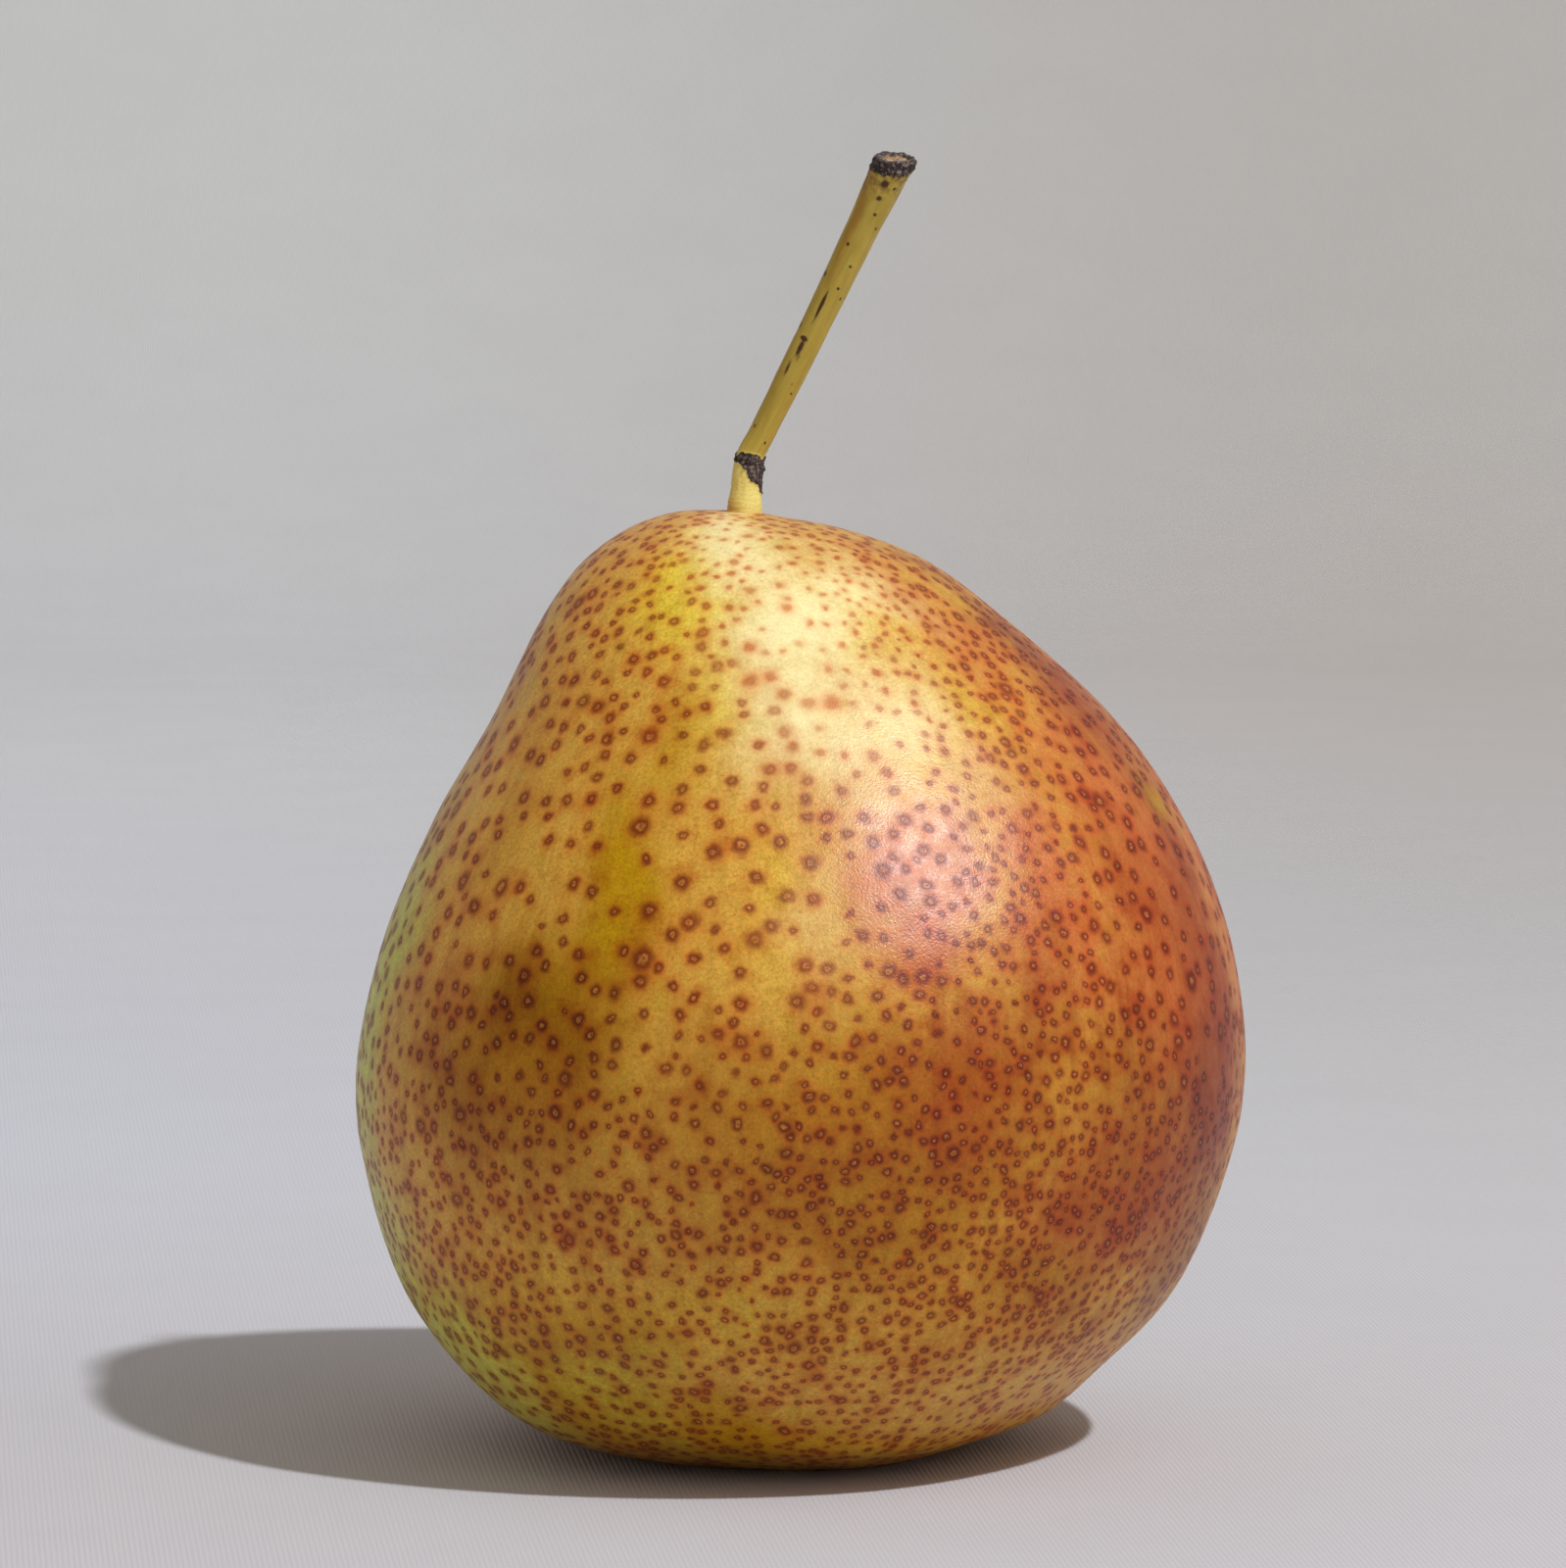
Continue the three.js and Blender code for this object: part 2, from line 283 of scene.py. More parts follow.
# Where each tone lies: turn, height, half width in degrees, half height, amount.
# CREAM is the skin's own pale colour, except for its spots at turn 6, height 53 and turn 28, height 55.
# These lie in the highlight and are partly painted highlight, moving its pale patch to the right.
CREAM = [
    (6, 66, 24, 7, 1.0), (-4, 72, 30, 4, 0.8), (6, 60, 16, 6, 0.85), (6, 53, 9, 6, 0.15),
    (0, 44, 8, 6, 0.3), (20, 61, 13, 5, 0.65), (24, 69, 20, 4.5, 0.85), (28, 55, 10, 6, 0.3),
    (60, 72, 26, 3, 0.2), (-12, 34, 8, 4, 0.2),
]
YELLOW = [
    (-22, 68, 17, 6, 0.8), (-15, 62, 12, 6, 0.6), (28, 66, 16, 4, 0.6), (38, 61, 10, 4, 0.35),
    (24, 56, 8, 4, 0.3), (-10, 14, 16, 5, 0.4), (-36, 15, 14, 7, 0.4), (-8, 48, 5, 8, 0.4),
    (-165, 60, 50, 18, 0.5), (170, 12, 40, 8, 0.4),
]
OLIVE = [
    (-27, 46, 9, 9, 1.0), (-21, 57, 8, 6, 0.6), (-33, 38, 13, 7, 0.9), (-44, 48, 9, 8, 0.2),
    (8, 27, 14, 6, 0.3), (-22, 4, 42, 5, 1.0), (-50, 12, 16, 8, 0.75), (-30, 9, 24, 8, 0.9),
    (28, 4, 30, 4, 0.6), (74, 53, 7, 3, 1.0), (150, 22, 36, 12, 0.45), (-140, 6, 60, 7, 0.8),
]
GREEN = [
    (-79, 36, 13, 16, 1.0), (-78, 14, 17, 12, 1.0), (-58, 9, 18, 9, 0.8), (-28, 8, 24, 6, 0.4),
    (-106, 32, 24, 24, 0.65), (-150, 18, 34, 16, 0.4),
]
BLUSH = [
    (36, 45, 16, 12, 0.8), (62, 44, 24, 20, 1.0), (46, 66, 18, 7, 0.6), (20, 33, 16, 9, 0.75),
    (52, 24, 22, 9, 0.8), (-54, 39, 12, 11, 0.4), (-44, 20, 22, 7, 0.3), (14, 47, 11, 9, 0.8),
    (100, 46, 30, 24, 0.9), (30, 12, 20, 5, 0.3),
]
DEEP = [
    (32, 38, 11, 8, 0.5), (70, 34, 12, 17, 0.85), (76, 61, 19, 10, 0.75), (46, 36, 13, 7, 0.45),
    (105, 40, 24, 22, 0.6),
]
SHADE = [
    (12, 28, 34, 12, 1.0), (-38, 33, 20, 11, 1.0), (-6, 32, 20, 8, 0.85), (54, 26, 24, 12, 0.9),
    (38, 17, 22, 6, 0.8), (68, 18, 14, 8, 0.9), (70, 48, 12, 8, 0.5), (-50, 53, 11, 8, 0.5),
    (50, 68, 18, 5, 0.2), (70, 66, 18, 7, 0.6), (56, 46, 14, 10, 0.5), (120, 40, 30, 30, 0.4),
]
TONES = (CREAM, YELLOW, OLIVE, GREEN, BLUSH, DEEP, SHADE)

# How the tones' edges wander: degrees or millimetres, wavelength, noise seed.
TURN_WANDER = [(8.0, 12.0, 11), (4.0, 4.5, 12)]
HEIGHT_WANDER = [(3.0, 10.0, 13), (1.4, 4.0, 14)]

# How far apart the lenticels are, by height, and where they are sparser or denser.
SPACING = [
    (0, 1.45), (10, 1.5), (20, 1.45), (28, 1.52), (36, 1.9),
    (44, 2.3), (52, 2.3), (60, 1.95), (68, 1.6), (74, 1.4),
]
SPARSE = [
    (-26, 47, 34, 8, 0.42), (4, 61, 16, 9, 0.5), (-60, 58, 16, 9, 0.4), (66, 42, 15, 14, 0.35),
    (-50, 8, 24, 5, 0.3),
]
DENSE = [(28, 45, 23, 14, 0.36), (30, 62, 24, 8, 0.26), (30, 20, 32, 12, 0.24)]

# The lenticels: how many are tried, the spacing at which all of them are wanted, the least
# distance between two as shares of the spacing, and the usual size by spacing.
LENTICEL_TRIES, LENTICEL_SEED = 26000, 20
FULL_SPACING = 1.4
APART_SHARES = (0.5, 0.72)
SIZE_BY_SPACING = [(1.4, 0.35), (1.6, 0.4), (2.0, 0.48), (2.6, 0.58), (3.2, 0.6)]
SIZE_SPREAD = 0.2
CORE_STRENGTHS, HALO_STRENGTHS = (0.85, 1.0), (0.5, 0.95)

# How much smaller and weaker they are where the skin is cream.
CREAM_SHRINKS, CREAM_WEAKENS = 0.4, 0.8

# None lie in this circle round the calyx, below this height.
BARE_RADIUS, BARE_HEIGHT = 4, 10

# The grid in which neighbours are looked up. Its cells are wider than any least distance.
CELL = 2.5

# Each face knows the lenticels nearest to it, one to a slot, out of this many looked at.
SLOTS = "abcd"
LOOKED_AT = 8

# The space in which streaks run up the skin: a cylinder in metres, squeezed lengthwise.
STREAK_RADIUS, STREAK_SQUEEZE = 0.035, 0.12


def thrown(rows, turn, count, rng):
    """Random points spread evenly over the surface, with the turn of each."""
    a, b, c, d = rows[:-1], np.roll(rows, -1, 1)[:-1], np.roll(rows, -1, 1)[1:], rows[1:]
    area = np.linalg.norm(np.cross(b - a, d - a), axis=-1).ravel()
    face = rng.choice(area.size, count, p=area / area.sum())
    u, v = rng.random((2, count, 1))
    a, b, c, d = (corner.reshape(-1, 3)[face] for corner in (a, b, c, d))
    place = a * (1 - u) * (1 - v) + b * u * (1 - v) + c * u * v + d * (1 - u) * v
    return place, turn[:-1].ravel()[face]


def spread_out(place, apart, wanted):
    """The wanted points that stay when each needs its own distance from those before it."""
    cells, kept = {}, []
    cell = np.floor(place / CELL).astype(int)
    for i in np.flatnonzero(wanted):
        home = tuple(cell[i])
        around = [
            j
            for dx in (-1, 0, 1) for dy in (-1, 0, 1) for dz in (-1, 0, 1)
            for j in cells.get((home[0] + dx, home[1] + dy, home[2] + dz), ())
        ]
        if around and np.min(np.sum((place[around] - place[i]) ** 2, 1)) < apart[i] ** 2:
            continue
        cells.setdefault(home, []).append(i)
        kept.append(i)
    return np.array(kept)


def lenticels(rows, turn):
    """Places, sizes and strengths of the lenticels."""
    rng = np.random.default_rng(LENTICEL_SEED)
    count = LENTICEL_TRIES
    place, at_turn = thrown(rows, turn, count, rng)
    z = place[:, 2]
    spacing = np.interp(z, *zip(*SPACING))
    spacing = spacing * (1 + patches(at_turn, z, SPARSE)) * (1 - patches(at_turn, z, DENSE))
    wanted = rng.random(count) < (FULL_SPACING / spacing) ** 2
    cream = patches(at_turn, z, CREAM)
    apart = spacing * rng.uniform(*APART_SHARES, count)
    size = np.interp(spacing, *zip(*SIZE_BY_SPACING)) * rng.lognormal(0, SIZE_SPREAD, count)
    size *= 1 - CREAM_SHRINKS * cream
    core = rng.uniform(*CORE_STRENGTHS, count) * (1 - CREAM_WEAKENS * cream)
    halo = rng.uniform(*HALO_STRENGTHS, count)
    by_calyx = (np.hypot(place[:, 0] - BASIN_X, place[:, 1]) < BARE_RADIUS) & (z < BARE_HEIGHT)
    kept = spread_out(place, apart, wanted & ~by_calyx)
    return place[kept], size[kept], core[kept], halo[kept]


def nearest_lenticels(piece, place, size):
    """The lenticels nearest to each face, with distances counted in their own sizes."""
    tree = kdtree.KDTree(len(place))
    for i, point in enumerate(place):
        tree.insert(Vector(point), i)
    tree.balance()
    centres = np.empty(len(piece.data.polygons) * 3, np.float32)
    piece.data.polygons.foreach_get("center", centres)
    centres = centres.reshape(-1, 3) / MM
    near = np.array([[hit[1] for hit in tree.find_n(Vector(c), LOOKED_AT)] for c in centres])
    reach = np.linalg.norm(place[near] - centres[:, None], axis=-1) / size[near]
    return np.take_along_axis(near, np.argsort(reach, 1), 1)[:, : len(SLOTS)]


def put_lenticels(piece, rows, turn):
    place, size, core, halo = lenticels(rows, turn)
    nearest = nearest_lenticels(piece, place, size)
    for slot, chosen in zip(SLOTS, nearest.T):
        put(piece, "FACE", f"lenticel_{slot}", place[chosen] * MM)
        make = np.stack([1 / (size[chosen] * MM), core[chosen], halo[chosen]], 1)
        put(piece, "FACE", f"make_{slot}", make)


def put_tones(piece, rows, turn):
    """The strength of each tone at each vertex, and the space in which the streaks run."""
    at_turn = turn + noise_sum(rows, TURN_WANDER)
    at_height = rows[..., 2] + noise_sum(rows, HEIGHT_WANDER)
    strengths = with_ends(np.stack([patches(at_turn, at_height, spots) for spots in TONES], -1))
    put(piece, "POINT", "tones_pale", strengths[:, :3])
    put(piece, "POINT", "tones_strong", strengths[:, 3:6])
    put(piece, "POINT", "tone_shade", strengths[:, 6])
    lengthwise = on_cylinder(np.radians(90 - turn), rows[..., 2] * MM, STREAK_RADIUS, STREAK_SQUEEZE)
    put(piece, "POINT", "lengthwise", with_ends(lengthwise))


put_lenticels(skin_piece, skin_rows, fruit_turn)
put_tones(skin_piece, skin_rows, fruit_turn)


# Materials.
def linear(*srgb):
    """A colour given as sRGB 0 to 255, as the linear colour that shaders take."""
    c = np.array(srgb) / 255
    return tuple(np.where(c <= 0.04045, c / 12.92, ((c + 0.055) / 1.055) ** 2.4)) + (1.0,)


class Shader:
    """Short names for the nodes of one material."""

    def __init__(self, name):
        self.material = bpy.data.materials.new(name)
        self.material.use_nodes = True
        self.tree = self.material.node_tree
        self.surface = self.tree.nodes["Principled BSDF"]

    def add(self, kind, inputs=(), **settings):
        node = self.tree.nodes.new(kind)
        for key, value in settings.items():
            setattr(node, key, value)
        for key, value in dict(inputs).items():
            self.set(node, key, value)
        return node

    def set(self, node, key, value):
        if isinstance(value, bpy.types.NodeSocket):
            self.tree.links.new(value, node.inputs[key])
        else:
            node.inputs[key].default_value = value

    def math(self, operation, a, b=0.0):
        return self.add("ShaderNodeMath", {0: a, 1: b}, operation=operation).outputs[0]

    def times(self, a, b):
        return self.math("MULTIPLY", a, b)

    def plus(self, a, b):
        return self.math("ADD", a, b)

    def rest_of(self, share):
        """What a share leaves of 1."""
        return self.math("SUBTRACT", 1.0, share)

    def centred(self, noise, weight):
        """A noise taken from its middle, times a weight."""
        return self.times(self.plus(noise, -0.5), weight)

    def bell(self, value, sharpness=1.0):
        """1 where the value is 0, and fading out on both sides."""
        return self.math("EXPONENT", self.times(self.times(value, value), -sharpness))

    def ramp(self, value, low, high, out_low=0.0, out_high=1.0):
        node = self.add(
            "ShaderNodeMapRange",
            {0: value, 1: low, 2: high, 3: out_low, 4: out_high},
            interpolation_type="SMOOTHSTEP",
        )
        return node.outputs[0]

    def mix(self, share, a, b, blend="MIX"):
        node = self.add("ShaderNodeMix", {0: share, 6: a, 7: b}, data_type="RGBA", blend_type=blend)
        return node.outputs[2]

    def tint(self, share, colour, factor):
        """The colour multiplied by a factor, as far as the share says."""
        return self.mix(share, colour, self.mix(1.0, colour, factor, "MULTIPLY"))

    def vector(self, operation, a, b):
        return self.add("ShaderNodeVectorMath", {0: a, 1: b}, operation=operation).outputs["Vector"]

    def distance(self, a, b):
        return self.add("ShaderNodeVectorMath", {0: a, 1: b}, operation="DISTANCE").outputs["Value"]

    def attribute(self, name):
        return self.add("ShaderNodeAttribute", attribute_name=name).outputs["Vector"]

    def number(self, name):
        return self.add("ShaderNodeAttribute", attribute_name=name).outputs["Fac"]

    def parts(self, vector):
        """The x, y and z of a vector."""
        return self.add("ShaderNodeSeparateXYZ", {0: vector}).outputs[:3]

    def noise(self, where, scale, detail, roughness, output="Fac"):
        inputs = {"Vector": where, "Scale": scale, "Detail": detail, "Roughness": roughness}
        return self.add("ShaderNodeTexNoise", inputs).outputs[output]

    def sway(self, where, reach, *noise_kind):
        """Small random offsets, up to half of `reach` each way."""
        offset = self.vector("SUBTRACT", self.noise(where, *noise_kind, "Color"), (0.5, 0.5, 0.5))
        node = self.add("ShaderNodeVectorMath", {0: offset, "Scale": reach}, operation="SCALE")
        return node.outputs["Vector"]

    def here(self):
        return self.add("ShaderNodeTexCoord").outputs["Object"]

    def finish(self, colour, roughness, bump_height, specular):
        bump = self.add("ShaderNodeBump", {"Strength": 1.0, "Distance": 1.0, "Height": bump_height})
        self.set(self.surface, "Base Color", colour)
        self.set(self.surface, "Roughness", roughness)
        self.set(self.surface, "Normal", bump.outputs[0])
        self.set(self.surface, "Specular IOR Level", specular)
        return self.material


# The skin's tones, and the tints that multiply them.
TAN = linear(216, 168, 66)
CREAM_TONE = linear(248, 234, 170)
YELLOW_TONE = linear(232, 204, 48)
OLIVE_TONE = linear(188, 143, 0)
GREEN_TONE = linear(206, 212, 88)
BLUSH_TONE = linear(200, 114, 56)
DEEP_TONE = linear(160, 74, 28)
PORE_TONE = linear(206, 152, 78)
SHADE_TINT = linear(211, 190, 122)
STREAK_TINT = linear(206, 178, 130)
BROAD_TINT = linear(236, 206, 150)
ROSY_TINT = linear(242, 214, 200)
GOLD_TINT = linear(236, 238, 190)
HALO_TINT = linear(240, 156, 112)
CORE_TINT = linear(148, 77, 34)

# The skin's noises: scale in waves per metre, detail, roughness.
BROAD_NOISE = (180.0, 3.0, 0.6)
BLOTCH_NOISE = (330.0, 3.0, 0.6)
STREAK_NOISE = (520.0, 4.0, 0.62)
MOTTLE_NOISE = (900.0, 3.0, 0.65)
FRECKLE_NOISE = (2400.0, 2.0, 0.6)
GRAIN_NOISE = (3600.0, 3.0, 0.75)
MICRO_NOISE = (5200.0, 2.0, 0.6)
SLOW_SWAY = (0.6 * MM, 700.0, 1.0, 0.5)
QUICK_SWAY = (0.4 * MM, 1900.0, 2.0, 0.6)

# How much of the streaks, blotches and freckles the cream part of the skin loses.
CREAM_CALMS = 0.75

# A lenticel by distance from its middle, in its own size: the dark disc's soft edge, how fast the
# halo fades, and the pale ring round its pore.
CORE_EDGE = (0.3, 1.45)
HALO_SHARPNESS = 0.43
PORE_RING, PORE_RING_WIDTH = 0.24, 0.15

# Heights of the skin's bumps in metres.
MICRO_BUMP, GRAIN_BUMP, MOTTLE_BUMP, PORE_BUMP = 0.034 * MM, 0.009 * MM, 0.014 * MM, 0.006 * MM
SKIN_SPECULAR = 0.25


def skin_tones(s, here, mottle):
    """The skin's colour without its lenticels, and how cream it is."""
    cream, yellow, olive = s.parts(s.attribute("tones_pale"))
    green, blush, deep = s.parts(s.attribute("tones_strong"))
    broad = s.noise(here, *BROAD_NOISE)
    blotch = s.noise(here, *BLOTCH_NOISE)
    streak = s.noise(s.attribute("lengthwise"), *STREAK_NOISE)
    freckle = s.noise(here, *FRECKLE_NOISE)
    breaks = s.plus(s.centred(streak, 0.35), s.plus(s.centred(mottle, 0.7), s.centred(blotch, 0.8)))

    def soft(field, gain, low=0.1, high=0.9):
        """A field whose edge breaks up over the mottling and the streaks."""
        return s.ramp(s.plus(field, s.times(breaks, gain)), low, high)

    colour = TAN
    for share, tone in (
        (soft(yellow, 0.35), YELLOW_TONE),
        (soft(blush, 0.45), BLUSH_TONE),
        (soft(olive, 0.4), OLIVE_TONE),
        (soft(green, 0.3), GREEN_TONE),
        (soft(cream, 0.14, 0.0, 1.05), CREAM_TONE),
        (soft(deep, 0.4), DEEP_TONE),
    ):
        colour = s.mix(share, colour, tone)
    colour = s.tint(soft(s.number("tone_shade"), 0.6), colour, SHADE_TINT)
    ripe = s.rest_of(s.times(cream, CREAM_CALMS))
    for share, factor in (
        (s.ramp(streak, 0.45, 0.75, 0.0, 0.35), STREAK_TINT),
        (s.ramp(broad, 0.4, 0.7, 0.0, 0.25), BROAD_TINT),
        (s.ramp(blotch, 0.52, 0.7, 0.0, 0.7), ROSY_TINT),
        (s.ramp(blotch, 0.3, 0.46, 0.7, 0.0), GOLD_TINT),
        (s.ramp(freckle, 0.54, 0.68, 0.0, 0.35), HALO_TINT),
    ):
        colour = s.tint(s.times(share, ripe), colour, factor)
    return colour, cream


def lenticel_shares(s, here):
    """How much reddish halo, dark disc and pale pore ring there is at a point."""
    bent = s.vector("ADD", here, s.sway(here, *QUICK_SWAY))
    bent = s.vector("ADD", bent, s.sway(here, *SLOW_SWAY))
    halos = cores = pores = None
    for slot in SLOTS:
        fineness, core_share, halo_share = s.parts(s.attribute(f"make_{slot}"))
        off = s.times(s.distance(bent, s.attribute(f"lenticel_{slot}")), fineness)
        off_ring = s.times(s.plus(off, -PORE_RING), 1 / PORE_RING_WIDTH)
        halo = s.times(s.bell(off, HALO_SHARPNESS), halo_share)
        core = s.times(s.ramp(off, *CORE_EDGE, 1.0, 0.0), core_share)
        pore = s.times(s.bell(off_ring), core_share)
        if halos is None:
            halos, cores, pores = halo, core, pore
            continue
        halos = s.plus(halos, s.times(halo, s.rest_of(halos)))
        cores = s.math("MAXIMUM", cores, core)
        pores = s.math("MAXIMUM", pores, pore)
    return halos, cores, pores


def skin_material():
    s = Shader("pear_skin")
    here = s.here()
    mottle = s.noise(here, *MOTTLE_NOISE)
    grain = s.noise(here, *GRAIN_NOISE)
    micro = s.noise(here, *MICRO_NOISE)
    colour, cream = skin_tones(s, here, mottle)

    halos, cores, pores = lenticel_shares(s, here)
    halos = s.math("MINIMUM", s.times(halos, s.ramp(grain, 0.25, 0.75, 0.6, 1.3)), 1.0)
    cores = s.times(cores, s.rest_of(s.times(pores, s.ramp(grain, 0.35, 0.65, 0.35, 0.9))))
    colour = s.tint(halos, colour, HALO_TINT)
    colour = s.tint(cores, colour, CORE_TINT)
    colour = s.mix(s.times(pores, s.ramp(grain, 0.35, 0.65, 0.1, 0.45)), colour, PORE_TONE)

    # Lighter and darker grains, weaker where the skin is cream.
    light = s.plus(s.ramp(mottle, 0.25, 0.75, -0.07, 0.07), s.ramp(grain, 0.25, 0.75, -0.18, 0.18))
    level = s.plus(s.times(light, s.rest_of(s.times(cream, 0.55))), 1.0)
    grey = s.add("ShaderNodeCombineXYZ", {0: level, 1: level, 2: level}).outputs[0]
    colour = s.mix(1.0, colour, grey, "MULTIPLY")

    roughness = s.plus(s.ramp(mottle, 0.3, 0.7, 0.31, 0.41), s.times(cores, 0.1))
    bump = s.plus(
        s.plus(s.times(micro, MICRO_BUMP), s.times(grain, GRAIN_BUMP)),
        s.plus(s.times(mottle, MOTTLE_BUMP), s.times(pores, PORE_BUMP)),
    )
    return s.finish(colour, roughness, bump, SKIN_SPECULAR)


skin_piece.data.materials.append(skin_material())
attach(skin_piece, "root")
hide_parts("fruit_body")


# The stalk: points of its centreline from the root to the cut, and its radius by height.
STALK_PATH = [
    (STALK_X, STALK_Y, 72.6),
    (STALK_X, STALK_Y, 74.0),
    (STALK_X + 0.3, STALK_Y - 0.05, 78.1),
    (STALK_X + 1.5, STALK_Y - 0.4, 80.6),
    (1.79, -1.1, 90.22),
    (7.39, -5.0, 102.05),
]
STALK_RADII = [
    (72.6, 1.34),
    (73.6, 1.44),
    (74.4, 1.36),
    (76.2, 1.13),
    (78.4, 1.06),
    (80.2, 1.02),
    (87.7, 1.14),
    (96.3, 1.27),
    (100.2, 1.46),
    (101.3, 1.56),
    (102.05, 1.53),
]
STALK_SIDES, STALK_RINGS = 72, 330
RIGHT_SIDE = math.radians(270)

# The way that the cut faces, and the share of the stalk's length at which its rings start to
# lean over towards that.
CUT_FACING = np.array([0.08, -0.26, 1.0])
CUT_NORMAL = CUT_FACING / np.linalg.norm(CUT_FACING)
CUT_START = 0.8

# Over the corky rim and in across the cut wood: share of the rim's radius, lift.
CUT_RINGS = [
    (0.99, 0.05), (0.96, 0.11), (0.91, 0.15), (0.85, 0.16), (0.79, 0.13), (0.73, 0.04), (0.68, -0.04),
    (0.6, -0.09), (0.5, -0.12), (0.4, -0.14), (0.3, -0.15), (0.2, -0.15), (0.1, -0.15),
]
CUT_ROUGHNESS = [(0.16, 0.6, 31), (0.10, 0.25, 32)]
CUT_HEIGHT = 102.3

# The hollow pith, off the middle of the cut.
PITH_X, PITH_Y, PITH_DEPTH, PITH_EDGE = 0.45, -0.1, 0.45, (0.2, 0.55)

# Lengthwise ribs and fine waves, as shares of the radius: amount, wavelength, noise seed.
RIBS, RIBLETS, RIB_SQUEEZE, RIBLET_SQUEEZE = (0.055, 0.85, 21), (0.02, 0.4, 22), 1 / 14, 3 / 14
FINE_WAVES = (0.012, 0.9, 23)
LUMP_RADIUS = 1.2

# Fine wrinkles round the foot: amount, pitch, how much they waver, where they start and end.
WRINKLE_AMOUNT, WRINKLE_PITCH, WRINKLE_WAVER = 0.008, 0.37, (6, 1.0, 27)
WRINKLE_START, WRINKLE_END = (73.8, 74.3), (76.5, 77.5)

# Cork at the knee and round the rim, as shares of the radius.
CORK_THICKNESS, CORK_RIGHT = 0.02, 0.09
CORK_FOLDS, CORK_GRAINS = (0.16, 0.5, 24), (0.07, 0.22, 25)
RIM_HEIGHTS, RIM_LUMPS = (101.0, 101.4), [(0.07, 0.6, 26), (0.05, 0.25, 30)]
SPUR_AMOUNT, SPUR_HEIGHT, SPUR_HALF_HEIGHT, SPUR_HALF_ANGLE = 0.2, 77.7, 0.35, 0.25

# The corky band at the knee: its lower and upper edge on the left, how far each moves on the
# right, how soft it is below and above the line, and how ragged both are.
KNEE_LOW, KNEE_LOW_RIGHT, KNEE_LOW_SOFT = 77.75, -2.1, (0.2, 0.2)
KNEE_HIGH, KNEE_HIGH_RIGHT, KNEE_HIGH_SOFT = 78.3, 0.5, (0.15, 0.2)
KNEE_RAGGED, KNEE_RADIUS = [(0.5, 0.9, 28), (0.25, 0.3, 29)], 1.1

# Scars and specks on the stalk: height, place across from left (-1) to right (1), half length
# along it, half width, strength.
STALK_MARKS = [
    (87.3, -0.28, 0.75, 0.22, 0.8), (88.0, -0.35, 0.2, 0.35, 1.0), (85.6, -0.45, 0.8, 0.16, 0.6),
    (86.6, -0.1, 0.5, 0.2, 0.45), (90.7, -0.26, 1.25, 0.13, 0.95), (92.7, -0.9, 0.25, 0.25, 0.7),
    (88.6, -0.95, 0.3, 0.2, 0.9), (100.5, 0.05, 0.3, 0.3, 0.8), (99.4, 0.1, 0.22, 0.2, 0.7),
    (100.2, 0.6, 0.17, 0.16, 0.7), (98.2, 0.28, 0.13, 0.13, 0.8), (97.2, 0.75, 0.13, 0.13, 0.8),
    (95.5, -0.4, 0.16, 0.14, 0.8), (94.1, 0.35, 0.12, 0.12, 0.9), (92.3, 0.28, 0.14, 0.12, 0.9),
    (91.6, 0.72, 0.15, 0.13, 0.8), (84.0, 0.62, 0.14, 0.12, 0.8), (80.7, -0.8, 0.2, 0.15, 0.7),
    (80.0, 0.55, 0.14, 0.13, 0.8),
]

# More specks on the side away from the camera: count, seed, ranges, half width and strength.
BACK_MARKS, BACK_MARK_SEED = 34, 8
BACK_HEIGHTS, BACK_ANGLES, BACK_LENGTHS = (80, 100.5), (math.pi / 2, 1.5 * math.pi), (0.1, 0.5)
BACK_WIDTH, BACK_STRENGTH = 0.13, 0.8
MARK_RADIUS = 1.15


def angle_from(angle, centre):
    """How far one angle is from another, the short way round."""
    return (angle - centre + math.pi) % FULL_TURN - math.pi


def on_right(angle):
    """1 on the stalk's right side, falling to 0 on its left."""
    return (1 + np.cos(angle - RIGHT_SIDE)) / 2


def stalk_knee(z, angle):
    """How corky the knee is: a ragged band whose lower edge runs down the right side."""
    right = on_right(angle)
    ragged = z + noise_sum(on_cylinder(angle, z, KNEE_RADIUS), KNEE_RAGGED)
    low, high = KNEE_LOW + KNEE_LOW_RIGHT * right**2, KNEE_HIGH + KNEE_HIGH_RIGHT * right
    over_low = smooth(ragged, low - KNEE_LOW_SOFT[0], low + KNEE_LOW_SOFT[1])
    over_high = smooth(ragged, high - KNEE_HIGH_SOFT[0], high + KNEE_HIGH_SOFT[1])
    return over_low * (1 - over_high)


def plain_radius(z):
    heights, radii = np.array(STALK_RADII).T
    spot = np.clip(np.searchsorted(heights, z) - 1, 0, len(heights) - 2)
    share = smooth((z - heights[spot]) / (heights[spot + 1] - heights[spot]), 0, 1)
    return radii[spot] + (radii[spot + 1] - radii[spot]) * share


def stalk_cork(z, angle, lumps):
    """How far the cork at the knee, its spur and the rim stand out, as a share of the radius."""
    fold_height, *folds = CORK_FOLDS
    cork = CORK_THICKNESS + CORK_RIGHT * on_right(angle) + fold_height * np.abs(noise_at(lumps, *folds))
    cork = (cork + noise_sum(lumps, [CORK_GRAINS])) * stalk_knee(z, angle)
    rim = smooth(z, *RIM_HEIGHTS) * (CORK_THICKNESS + noise_sum(lumps, RIM_LUMPS))
    off_spur = angle_from(angle, RIGHT_SIDE) / SPUR_HALF_ANGLE
    spur = SPUR_AMOUNT * bell((z - SPUR_HEIGHT) / SPUR_HALF_HEIGHT, off_spur)
    return cork + rim + spur


